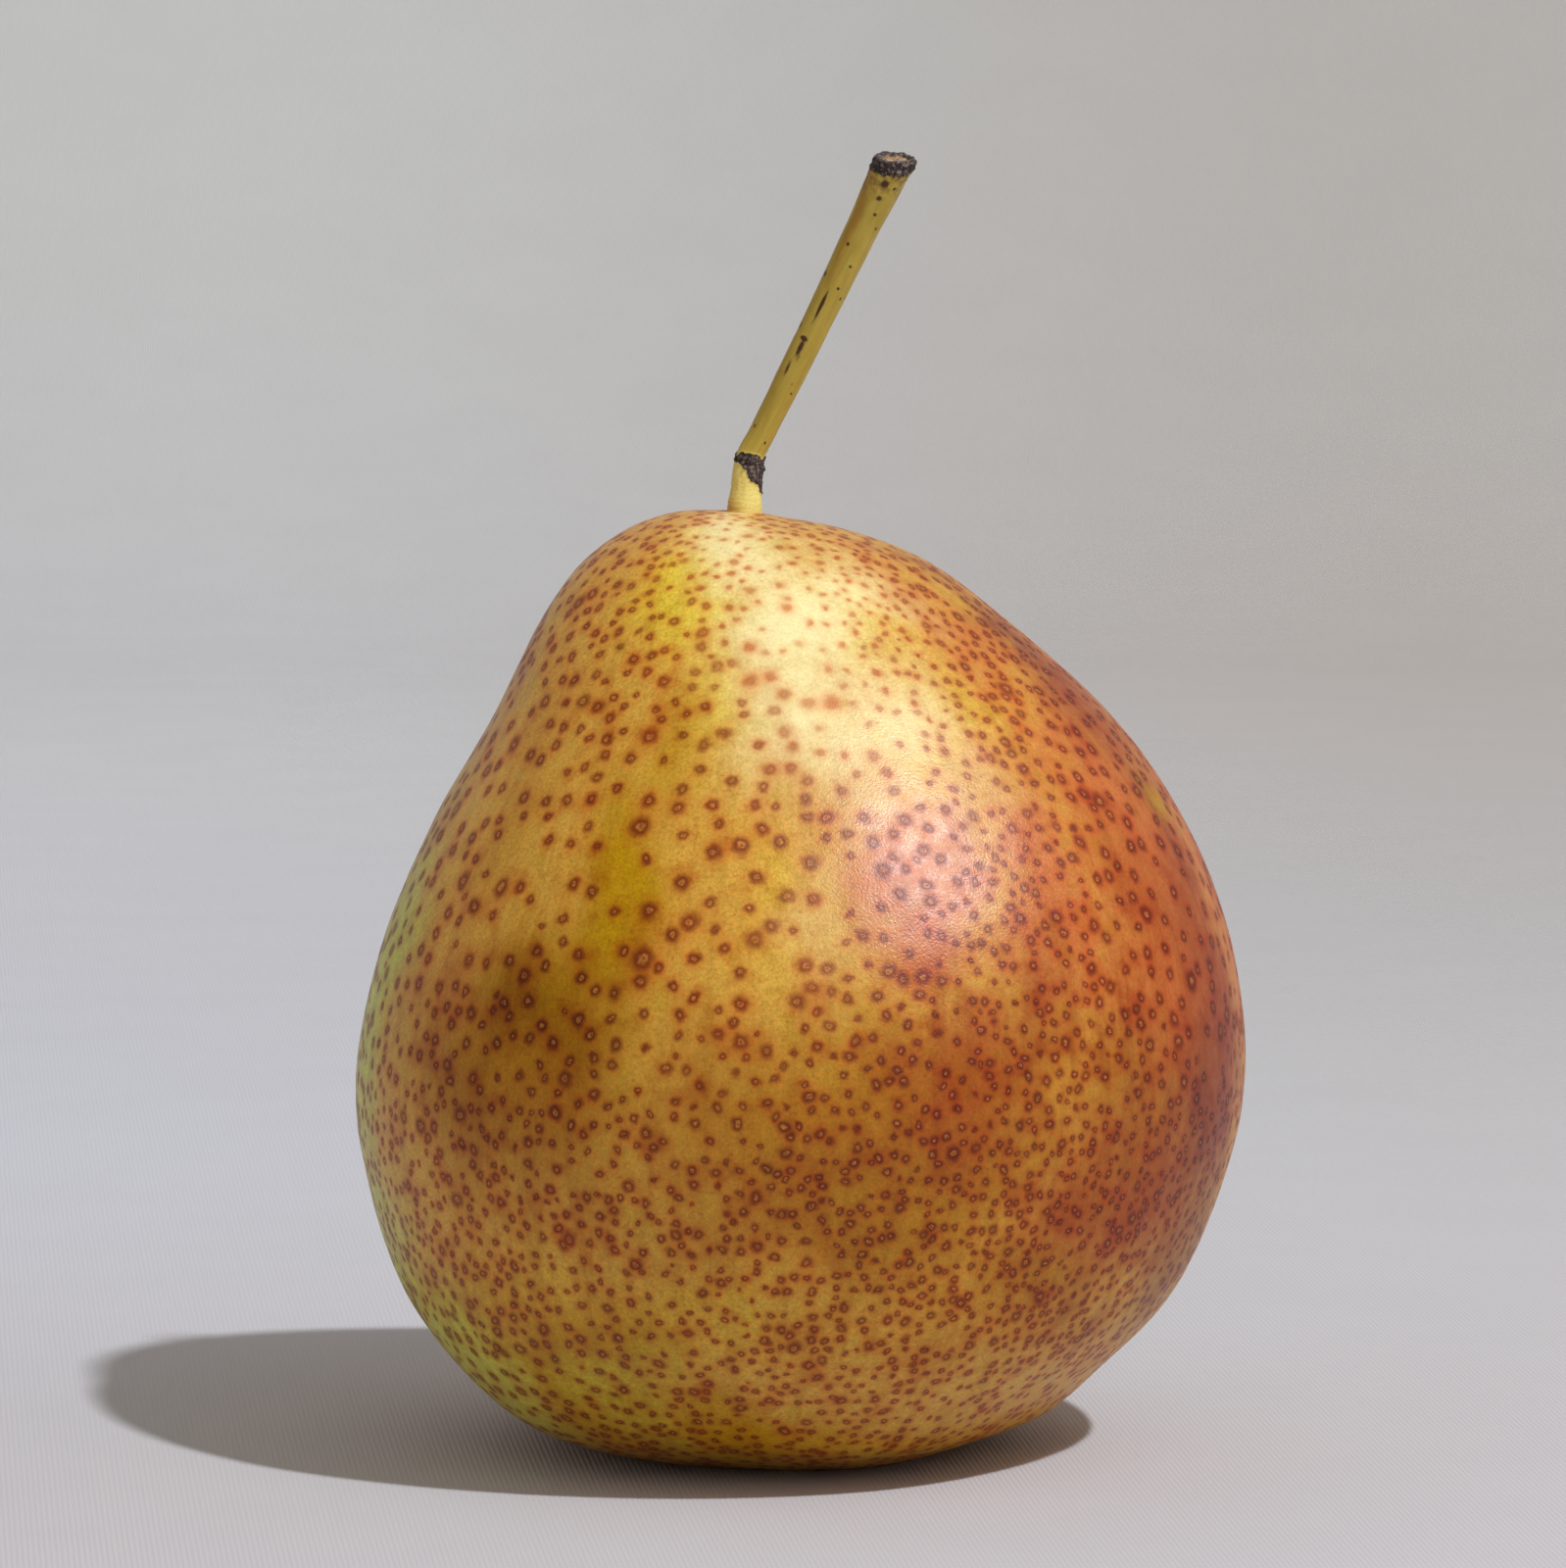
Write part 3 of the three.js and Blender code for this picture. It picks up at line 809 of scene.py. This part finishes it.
def stalk_wrinkles(z, lumps):
    waver = noise_sum(lumps, [WRINKLE_WAVER])
    wave = WRINKLE_AMOUNT * np.sin(z * FULL_TURN / WRINKLE_PITCH + waver)
    return wave * smooth(z, *WRINKLE_START) * (1 - smooth(z, *WRINKLE_END))


def stalk_radius(z, angle):
    lumps = on_cylinder(angle, z, LUMP_RADIUS)
    ribs = noise_sum(on_cylinder(angle, z, stretch=RIB_SQUEEZE), [RIBS])
    riblets = noise_sum(on_cylinder(angle, z, stretch=RIBLET_SQUEEZE), [RIBLETS])
    waves = ribs + riblets + noise_sum(lumps, [FINE_WAVES])
    return plain_radius(z) * (1 + waves + stalk_cork(z, angle, lumps) + stalk_wrinkles(z, lumps))


def stalk_sweep():
    """The stalk's rings, which lean over towards the cut at its end, and their centres."""
    points = curve_points(STALK_PATH, STALK_RINGS)
    tangent = np.gradient(points, axis=0)
    tangent /= np.linalg.norm(tangent, axis=1, keepdims=True)
    rightward = np.cross(tangent, (0.0, -1.0, 0.0))
    rightward /= np.linalg.norm(rightward, axis=1, keepdims=True)
    forward = np.cross(rightward, tangent)
    angle = circle(STALK_SIDES)
    cosine, sine = np.cos(angle)[..., None], np.sin(angle)[..., None]
    radius = stalk_radius(points[:, 2:], angle)[..., None]
    offset = (forward[:, None] * cosine - rightward[:, None] * sine) * radius
    shear = smooth(np.linspace(0, 1, STALK_RINGS), CUT_START, 1)[:, None]
    lean = -shear * (offset @ CUT_NORMAL) / (tangent @ CUT_NORMAL)[:, None]
    return points[:, None] + offset + tangent[:, None] * lean[..., None], points


def cut_end(rim):
    """Rings that go over the corky rim and in across the cut wood."""
    centre = rim.mean(0)
    rings = []
    for share, lift in CUT_RINGS:
        ring = centre + (rim - centre) * share + CUT_NORMAL * lift
        off_pith = np.hypot(ring[:, 0] - centre[0] - PITH_X, ring[:, 1] - centre[1] - PITH_Y)
        rise = noise_sum(ring, CUT_ROUGHNESS) - PITH_DEPTH * (1 - smooth(off_pith, *PITH_EDGE))
        rings.append(ring + CUT_NORMAL * rise[:, None])
    return np.array(rings)


def stalk_scars(z, angle):
    """How strongly each point is marked by a scar or a speck."""
    rng = np.random.default_rng(BACK_MARK_SEED)
    marks = [(high, -math.asin(side), *shape) for high, side, *shape in STALK_MARKS]
    for _ in range(BACK_MARKS):
        high, around, long = (rng.uniform(*limits) for limits in (BACK_HEIGHTS, BACK_ANGLES, BACK_LENGTHS))
        marks.append((high, around, long, BACK_WIDTH, BACK_STRENGTH))
    total = np.zeros(np.broadcast(z, angle).shape)
    for high, around, long, wide, strength in marks:
        across = angle_from(angle, around) * MARK_RADIUS
        total = np.maximum(total, strength * bell((z - high) / long, across / wide))
    return total


# The space in which the stalk's fibres run: a cylinder, squeezed lengthwise.
FIBRE_RADIUS, FIBRE_SQUEEZE = 1.2, 0.1


def put_stalk_facts(piece, centres):
    """Height, nearness to the cut's middle, cork, scars and a lengthwise space at each vertex."""
    angle = circle(STALK_SIDES)
    along = np.r_[centres[:, 2], np.full(len(CUT_RINGS), CUT_HEIGHT)][:, None] + 0 * angle
    end = np.r_[np.zeros(STALK_RINGS), np.linspace(0.3, 1, len(CUT_RINGS))][:, None] + 0 * angle
    put(piece, "POINT", "facts", with_ends(np.stack([along, end, stalk_knee(along, angle)], -1)))
    put(piece, "POINT", "scars", with_ends(stalk_scars(along, angle)[..., None])[:, 0])
    lengthwise = on_cylinder(angle, along, FIBRE_RADIUS, FIBRE_SQUEEZE) * MM
    put(piece, "POINT", "lengthwise", with_ends(lengthwise))


swept_rows, stalk_centres = stalk_sweep()
stalk_rows = np.vstack([swept_rows, cut_end(swept_rows[-1])])
stalk_rows[..., :2] += box_shift
stalk_piece = grid_mesh("stalk_bark", closed(stalk_rows))
put_stalk_facts(stalk_piece, stalk_centres)

# The bark's colours.
FIBRE_TONES = linear(180, 154, 54), linear(196, 172, 70)
DULL_TONE = linear(150, 132, 62)
AMBER_TONE = linear(168, 108, 20)
SCORCH_TONE = linear(96, 58, 34)
FOOT_TONES = linear(228, 204, 98), linear(240, 226, 136)
FOOT_WARM_TONE = linear(222, 160, 76)
FOOT_EDGE_TONE = linear(222, 132, 74)
SCAR_TONE = linear(78, 42, 16)
SPECK_TONE = linear(84, 56, 18)
CRUST_TONES = linear(42, 32, 29), linear(150, 130, 118)
WOOD_TONES = linear(100, 68, 42), linear(206, 166, 120)
PITH_TONE = linear(44, 26, 18)

# The bark's noises: scale in waves per metre, detail, roughness.
AMBER_NOISE = (900.0, 3.0, 0.6)
SPECK_NOISE = (1500.0, 3.0, 0.7)
BARK_FIBRE_NOISE = (2600.0, 4.0, 0.65)
CRUST_NOISE = (3400.0, 4.0, 0.75)
FINE_NOISE = (5200.0, 3.0, 0.65)

# Heights between which the bark's tones change.
FOOT_EDGE_HEIGHTS, FOOT_WARM_HEIGHTS, FOOT_END_HEIGHTS = (74.4, 73.6), (76.5, 74.0), (77.6, 79.4)
AMBER_HEIGHTS, SCORCH_HEIGHTS, BLACK_HEIGHTS = (86.5, 91.0), (98.5, 101.2), (101.0, 101.2)

# Heights of the bark's bumps in metres, and the pith's dark edge.
BARK_FIBRE_BUMP, FINE_BUMP, CORK_BUMP, SCAR_DENT = 0.022 * MM, 0.012 * MM, 0.16 * MM, 0.04 * MM
PITH_SHADE = (0.62 * MM, 0.35 * MM)
BARK_ROUGHNESS, CORK_ROUGHENS, BARK_SPECULAR = 0.5, 0.3, 0.4


def bark_tones(s, along, fine, speck):
    """The bark's colour from its pale young foot to its scorched end, before scars and cork."""
    lengthwise = s.attribute("lengthwise")
    front, left, _ = s.parts(lengthwise)
    fibre = s.noise(lengthwise, *BARK_FIBRE_NOISE)
    patchy = s.ramp(s.noise(lengthwise, *AMBER_NOISE), 0.38, 0.6)
    colour = s.mix(s.ramp(fibre, 0.3, 0.7), *FIBRE_TONES)
    colour = s.mix(s.ramp(front, 0.0, -1.2 * MM, 0.0, 0.4), colour, DULL_TONE)
    amber = s.times(patchy, s.ramp(along, *AMBER_HEIGHTS, 0.2, 0.75))
    colour = s.mix(s.times(s.ramp(left, -0.2 * MM, 1.1 * MM), amber), colour, AMBER_TONE)
    scorch = s.times(s.ramp(along, *SCORCH_HEIGHTS), s.ramp(speck, 0.42, 0.6, 0.0, 0.7))
    colour = s.mix(scorch, colour, SCORCH_TONE)
    foot = s.mix(s.ramp(fine, 0.3, 0.7), *FOOT_TONES)
    warm = s.times(s.ramp(left, 0.0, 1.1 * MM), s.ramp(along, *FOOT_WARM_HEIGHTS, 0.0, 0.5))
    foot = s.mix(warm, foot, FOOT_WARM_TONE)
    foot = s.mix(s.ramp(along, *FOOT_EDGE_HEIGHTS, 0.0, 0.7), foot, FOOT_EDGE_TONE)
    return s.mix(s.rest_of(s.ramp(along, *FOOT_END_HEIGHTS)), colour, foot), fibre


def stalk_material(pith):
    s = Shader("stalk_bark")
    here = s.here()
    along, end, knee = s.parts(s.attribute("facts"))
    speck = s.noise(here, *SPECK_NOISE)
    fine = s.noise(here, *FINE_NOISE)
    colour, fibre = bark_tones(s, along, fine, speck)

    scars = s.ramp(s.plus(s.number("scars"), s.centred(speck, 0.5)), 0.18, 0.6)
    colour = s.mix(scars, colour, SCAR_TONE)
    colour = s.mix(s.ramp(speck, 0.68, 0.74, 0.0, 0.6), colour, SPECK_TONE)

    inside = s.ramp(s.plus(end, s.centred(speck, 0.5)), 0.64, 0.72)
    rim = s.times(s.ramp(s.plus(along, s.centred(speck, 0.9)), *BLACK_HEIGHTS), s.rest_of(inside))
    cork = s.math("MAXIMUM", s.ramp(knee, 0.25, 0.7), rim)
    crust = s.mix(s.ramp(s.noise(here, *CRUST_NOISE), 0.47, 0.69), *CRUST_TONES)
    colour = s.mix(cork, colour, crust)

    wood = s.mix(s.ramp(fine, 0.3, 0.72), *WOOD_TONES)
    wood = s.mix(s.ramp(s.distance(here, pith), *PITH_SHADE), wood, PITH_TONE)
    colour = s.mix(inside, colour, wood)

    bump = s.plus(
        s.plus(s.times(fibre, BARK_FIBRE_BUMP), s.times(fine, FINE_BUMP)),
        s.plus(s.times(cork, s.times(speck, CORK_BUMP)), s.times(scars, -SCAR_DENT)),
    )
    roughness = s.plus(BARK_ROUGHNESS, s.times(cork, CORK_ROUGHENS))
    return s.finish(colour, roughness, bump, BARK_SPECULAR)


pith_place = (stalk_rows[-1].mean(0) + [PITH_X, PITH_Y, 0]) * MM
stalk_piece.data.materials.append(stalk_material(tuple(pith_place)))
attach(stalk_piece, "root")
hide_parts("stalk")


# The calyx, hanging mouth down in the basin. The cup's outline goes from inside its mouth to its
# root's top: share of the cup's radius, height over its rim.
CUP_RIM_HEIGHT, CUP_RADIUS, ROOT_HEIGHT = 3.325, 2.3, 3.4
CUP_OUTLINE = [
    (0.2, 0.75), (0.5, 0.62), (0.66, 0.3), (0.72, 0.0), (0.8, -0.04), (0.9, 0.15), (0.92, 0.6),
    (0.86, 1.15), (0.7, 1.42), (0.478, 1.5), (0.478, 2.4), (0.47, 3.38),
]
CUP_RINGS, CUP_SIDES = 60, 96
CUP_RIBS, CUP_RIB_SQUEEZE = [(0.08, 0.16, 41), (0.05, 0.07, 42)], 0.15

# A sepal: distance from the cup's axis and height over its rim, then its size.
SEPAL_REACH = [(1.0, 0.8), (2.3, 0.1), (3.8, -0.35), (4.85, -0.5)]
SEPAL_COUNT, SEPAL_START, SEPAL_RINGS, SEPAL_SIDES = 5, 0.25, 44, 40
SEPAL_HALF_WIDTH, SEPAL_HALF_THICKNESS, SEPAL_THINNING = 1.3, 0.16, 0.06
SEPAL_BLUNTNESS, SEPAL_TIP_HALF_WIDTH = 1.6, 0.1

# How far a sepal's edges rise, its lengthwise folds, its tip's curl and its crumpling.
SEPAL_CUPPING, SEPAL_CUPPING_SPREAD = 0.22, 0.25
SEPAL_FOLD, SEPAL_FOLD_SPACING = 0.12, 1 / 7
SEPAL_CURL, SEPAL_CURL_PULL, SEPAL_SWAY = (0.15, 0.7), 0.8, (-0.5, 0.5)
SEPAL_CRUMPLES = [(0.10, 0.9, 43), (0.05, 0.35, 53)]

# A stamen: how near its root and how far its tip are from the cup's axis, and how far it hangs.
STAMEN_COUNT, STAMEN_RINGS, STAMEN_SIDES = 15, 16, 8
STAMEN_NEAR, STAMEN_FAR, STAMEN_DROP, STAMEN_BEND = (0.3, 0.9), (0.9, 1.9), (0.5, 0.95), (-0.3, 0.3)
STAMEN_RADII = [(0, 0.09), (0.8, 0.06), (0.86, 0.14), (0.95, 0.14), (1, 0.05)]
CALYX_SEED = 5

# The calyx's finish.
DRY_TONES, DRY_FIBRE_TONE = (linear(58, 40, 26), linear(112, 84, 56)), linear(150, 124, 94)
DRY_PATCH_NOISE, DRY_FIBRE_NOISE = (700.0, 3.0, 0.6), (4200.0, 4.0, 0.7)
DRY_ROUGHNESS, DRY_SPECULAR, DRY_FIBRE_BUMP = (0.75, 0.9), 0.3, 0.12 * MM


def outward_at(angle):
    return np.array([math.cos(angle), math.sin(angle), 0])


def cup_grid(centre):
    outline = curve_points([(share * CUP_RADIUS, lift, 0) for share, lift in CUP_OUTLINE], CUP_RINGS)
    angle = circle(CUP_SIDES)
    radius, lift = outline[:, :1], outline[:, 1:2]
    radius = radius * (1 + noise_sum(on_cylinder(angle, lift, stretch=CUP_RIB_SQUEEZE), CUP_RIBS))
    cup = np.stack([radius * np.cos(angle), radius * np.sin(angle), lift + 0 * angle], -1) + centre
    return cup, centre + UP * CUP_OUTLINE[0][1], centre + UP * ROOT_HEIGHT


def sepal_grid(centre, i, rng):
    """A blunt sepal, cupped along its middle, curled at its tip and crumpled."""
    turned = FULL_TURN * (i + SEPAL_START) / SEPAL_COUNT
    outward, across = outward_at(turned), outward_at(turned + math.pi / 2)
    path = curve_points([(reach, rise, 0) for reach, rise in SEPAL_REACH], SEPAL_RINGS)
    u = np.linspace(0, 1, SEPAL_RINGS)[:, None]
    loop = circle(SEPAL_SIDES)
    taper = np.sqrt(np.maximum(1 - u**SEPAL_BLUNTNESS, 0.0)) * (0.75 + 0.5 * u)
    side = np.cos(loop) * (SEPAL_HALF_WIDTH * taper + SEPAL_TIP_HALF_WIDTH)
    thick = np.sin(loop) * (SEPAL_HALF_THICKNESS - SEPAL_THINNING * u)
    cupping = SEPAL_CUPPING + SEPAL_CUPPING_SPREAD * rng.random()
    folds = SEPAL_FOLD * np.cos(side / SEPAL_FOLD_SPACING) * (1 - u)
    curl = smooth(u, 0.6, 1.0) * rng.uniform(*SEPAL_CURL)
    sway = smooth(u, 0.3, 1.0) * rng.uniform(*SEPAL_SWAY)
    lift = cupping * (side / SEPAL_HALF_WIDTH) ** 2 - folds + curl
    sheet = (
        centre
        + outward * (path[:, :1] - curl * SEPAL_CURL_PULL + 0 * loop)[..., None]
        + across * (side + sway)[..., None]
        + UP * (path[:, 1:2] + thick + lift)[..., None]
    )
    layers = [(height, wavelength, seed + i) for height, wavelength, seed in SEPAL_CRUMPLES]
    crumple = noise_sum(sheet, layers)
    return closed(sheet + UP * (crumple * smooth(u, 0.1, 0.4))[..., None])


def stamen_grid(centre, i, rng):
    """A dry stamen with a small head, hanging out of the cup."""
    outward = outward_at(FULL_TURN * (i + rng.uniform(-0.3, 0.3)) / STAMEN_COUNT)
    near, far, drop = (rng.uniform(*limits) for limits in (STAMEN_NEAR, STAMEN_FAR, STAMEN_DROP))
    bend = rng.uniform(*STAMEN_BEND)
    route = [
        centre + outward * near + [0, 0, 0.7],
        centre + outward * (near + far) / 2 + [bend, bend, 0.1],
        centre + outward * far + [0, 0, -drop],
    ]
    path = curve_points(route, STAMEN_RINGS)
    radius = np.interp(np.linspace(0, 1, STAMEN_RINGS), *zip(*STAMEN_RADII))
    tube = path[:, None] + on_cylinder(circle(STAMEN_SIDES), 0.0) * radius[:, None, None]
    return closed(tube[::-1])


def calyx_grids():
    rng = np.random.default_rng(CALYX_SEED)
    centre = np.array([BASIN_X + box_shift[0], box_shift[1], CUP_RIM_HEIGHT])
    sepals = [sepal_grid(centre, i, rng) for i in range(SEPAL_COUNT)]
    stamens = [stamen_grid(centre, i, rng) for i in range(STAMEN_COUNT)]
    return [cup_grid(centre), *sepals, *stamens]


def calyx_material():
    s = Shader("dried_calyx")
    here = s.here()
    broad = s.noise(here, *DRY_PATCH_NOISE)
    fibre = s.noise(here, *DRY_FIBRE_NOISE)
    colour = s.mix(s.ramp(broad, 0.35, 0.65), *DRY_TONES)
    colour = s.mix(s.ramp(fibre, 0.45, 0.75), colour, DRY_FIBRE_TONE)
    roughness = s.ramp(fibre, 0.3, 0.7, *DRY_ROUGHNESS)
    return s.finish(colour, roughness, s.times(fibre, DRY_FIBRE_BUMP), DRY_SPECULAR)


calyx_piece = grid_mesh("dried_calyx", *calyx_grids())
calyx_piece.data.materials.append(calyx_material())
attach(calyx_piece, "root")
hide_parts("calyx")


# The stage, in metres: a pale ground that sweeps up into the background.
GROUND_REACH, SWEEP_START, SWEEP_RADIUS, WALL_TOP = 6.0, 0.75, 0.45, 2.2
SWEEP_FIRST_ANGLE, SWEEP_STEPS = 0.1, 16

# The ground's tone next to the fruit, then on each side the depths (y) between which it changes
# and the tone that it changes to. These changes are painted light: the cloth gets lighter further back,
# and lighter on the left than on the right, as uneven studio light would leave it.
NEAR_TONE = linear(199, 197, 200)
LEFT_PAINTED_LIGHT = [
    (-0.05, 0.2, linear(212, 214, 223)),
    (0.15, 0.65, linear(231, 233, 238)),
    (0.75, 1.05, linear(228, 231, 231)),
]
RIGHT_PAINTED_LIGHT = [
    (-0.05, 0.25, linear(202, 201, 201)),
    (0.3, 0.75, linear(216, 211, 208)),
    (0.75, 1.05, linear(211, 210, 207)),
]
PAINTED_LIGHT_SIDE_CHANGE = (-0.12, 0.12)
FUZZ_TONE = linear(150, 148, 150)
THREAD_PITCH, THREAD_SLANT, CLOTH_BUMP = 0.42 * MM, 0.1, 0.02 * MM
WEAVE_NOISE, FUZZ_NOISE = (2600.0, 2.0, 0.6), (60.0, 3.0, 0.5)
CLOTH_ROUGHNESS, CLOTH_SPECULAR = 0.9, 0.2


def cloth_material():
    s = Shader("pale_cloth")
    here = s.here()
    x, y, _ = s.parts(here)
    threads = s.math("SINE", s.times(s.plus(x, s.times(y, THREAD_SLANT)), FULL_TURN / THREAD_PITCH))
    weave = s.noise(here, *WEAVE_NOISE)
    fuzz = s.noise(here, *FUZZ_NOISE)
    # Painted light: the tone gets lighter further back, and lighter on the left than on the right.
    left = right = NEAR_TONE
    for low, high, tone in LEFT_PAINTED_LIGHT:
        left = s.mix(s.ramp(y, low, high), left, tone)
    for low, high, tone in RIGHT_PAINTED_LIGHT:
        right = s.mix(s.ramp(y, low, high), right, tone)
    tone = s.mix(s.ramp(x, *PAINTED_LIGHT_SIDE_CHANGE), left, right)
    tone = s.mix(s.ramp(fuzz, 0.3, 0.7, 0.0, 0.03), tone, FUZZ_TONE)
    bump = s.times(s.plus(s.times(threads, 0.5), weave), CLOTH_BUMP)
    return s.finish(tone, CLOTH_ROUGHNESS, bump, CLOTH_SPECULAR)


def backdrop():
    profile = [(-GROUND_REACH, 0.0), (SWEEP_START, 0.0)]
    for a in np.linspace(SWEEP_FIRST_ANGLE, math.pi / 2, SWEEP_STEPS):
        profile.append((SWEEP_START + SWEEP_RADIUS * math.sin(a), SWEEP_RADIUS * (1 - math.cos(a))))
    profile.append((SWEEP_START + SWEEP_RADIUS, WALL_TOP))
    verts = [(x, y, z) for y, z in profile for x in (-GROUND_REACH, GROUND_REACH)]
    faces = [(k, k + 1, k + 3, k + 2) for k in range(0, len(verts) - 2, 2)]
    mesh = bpy.data.meshes.new("backdrop")
    mesh.from_pydata(verts, [], faces)
    mesh.polygons.foreach_set("use_smooth", np.ones(len(mesh.polygons), bool))
    mesh.materials.append(cloth_material())
    ground = bpy.data.objects.new("backdrop", mesh)
    bpy.context.scene.collection.objects.link(ground)


backdrop()


# The lamps, in metres and watts: a small key light high at the front right, and a wider one near
# it that makes the soft highlight and lights nothing else.
FRUIT_MIDDLE = Vector((0, 0, 0.037))
KEY_ELEVATION, KEY_FORWARD, KEY_DISTANCE = math.radians(52.5), math.radians(44), 1.3
KEY_SIZE, KEY_POWER, KEY_COLOUR = 0.05, 13.5, (0.93, 0.95, 1.0)
GLINT_PLACE = Vector((0.70, -0.42, 1.04))
GLINT_SIZE, GLINT_POWER, GLINT_COLOUR = 0.12, 18.0, (1.0, 0.95, 0.98)
SKY_COLOUR, SKY_STRENGTH = (1.0, 0.93, 0.86, 1), 0.42


def area_light(name, position, size, energy, colour):
    data = bpy.data.lights.new(name, "AREA")
    data.shape = "DISK"
    data.size, data.energy, data.color = size, energy, colour
    lamp = bpy.data.objects.new(name, data)
    lamp.location = position
    lamp.rotation_euler = (FRUIT_MIDDLE - position).to_track_quat("-Z", "Y").to_euler()
    bpy.context.scene.collection.objects.link(lamp)
    return lamp


def light_scene():
    level, rise = math.cos(KEY_ELEVATION), math.sin(KEY_ELEVATION)
    towards_key = Vector((level * math.cos(KEY_FORWARD), -level * math.sin(KEY_FORWARD), rise))
    area_light("key", FRUIT_MIDDLE + towards_key * KEY_DISTANCE, KEY_SIZE, KEY_POWER, KEY_COLOUR)
    glint = area_light("glint", GLINT_PLACE, GLINT_SIZE, GLINT_POWER, GLINT_COLOUR)
    glint.visible_diffuse = False
    world = bpy.data.worlds.new("studio")
    world.use_nodes = True
    sky = world.node_tree.nodes["Background"]
    sky.inputs["Color"].default_value = SKY_COLOUR
    sky.inputs["Strength"].default_value = SKY_STRENGTH
    world.cycles_visibility.glossy = False
    bpy.context.scene.world = world
    bpy.context.scene.view_settings.view_transform = "Standard"


light_scene()


# The camera: a long lens a little above the fruit. The frame's height at the fruit is in metres.
CAMERA_DISTANCE, CAMERA_ELEVATION = 0.7, math.radians(5.5)
CAMERA_AIM = Vector((-1.44, 0, 52.71)) * MM
PHOTO_HEIGHT_PIXELS, MM_PER_PIXEL = 1600, 0.07734
FRAME_HEIGHT = PHOTO_HEIGHT_PIXELS * MM_PER_PIXEL * MM
SENSOR_WIDTH, CLIP_END = 36.0, 10.0


def set_camera():
    camera = bpy.data.objects.new("camera", bpy.data.cameras.new("camera"))
    back = Vector((0, -math.cos(CAMERA_ELEVATION), math.sin(CAMERA_ELEVATION)))
    camera.location = CAMERA_AIM + back * CAMERA_DISTANCE
    camera.rotation_euler = back.to_track_quat("Z", "Y").to_euler()
    camera.data.sensor_width = SENSOR_WIDTH
    camera.data.lens = SENSOR_WIDTH * CAMERA_DISTANCE / FRAME_HEIGHT
    camera.data.clip_end = CLIP_END
    bpy.context.scene.collection.objects.link(camera)
    bpy.context.scene.camera = camera


set_camera()
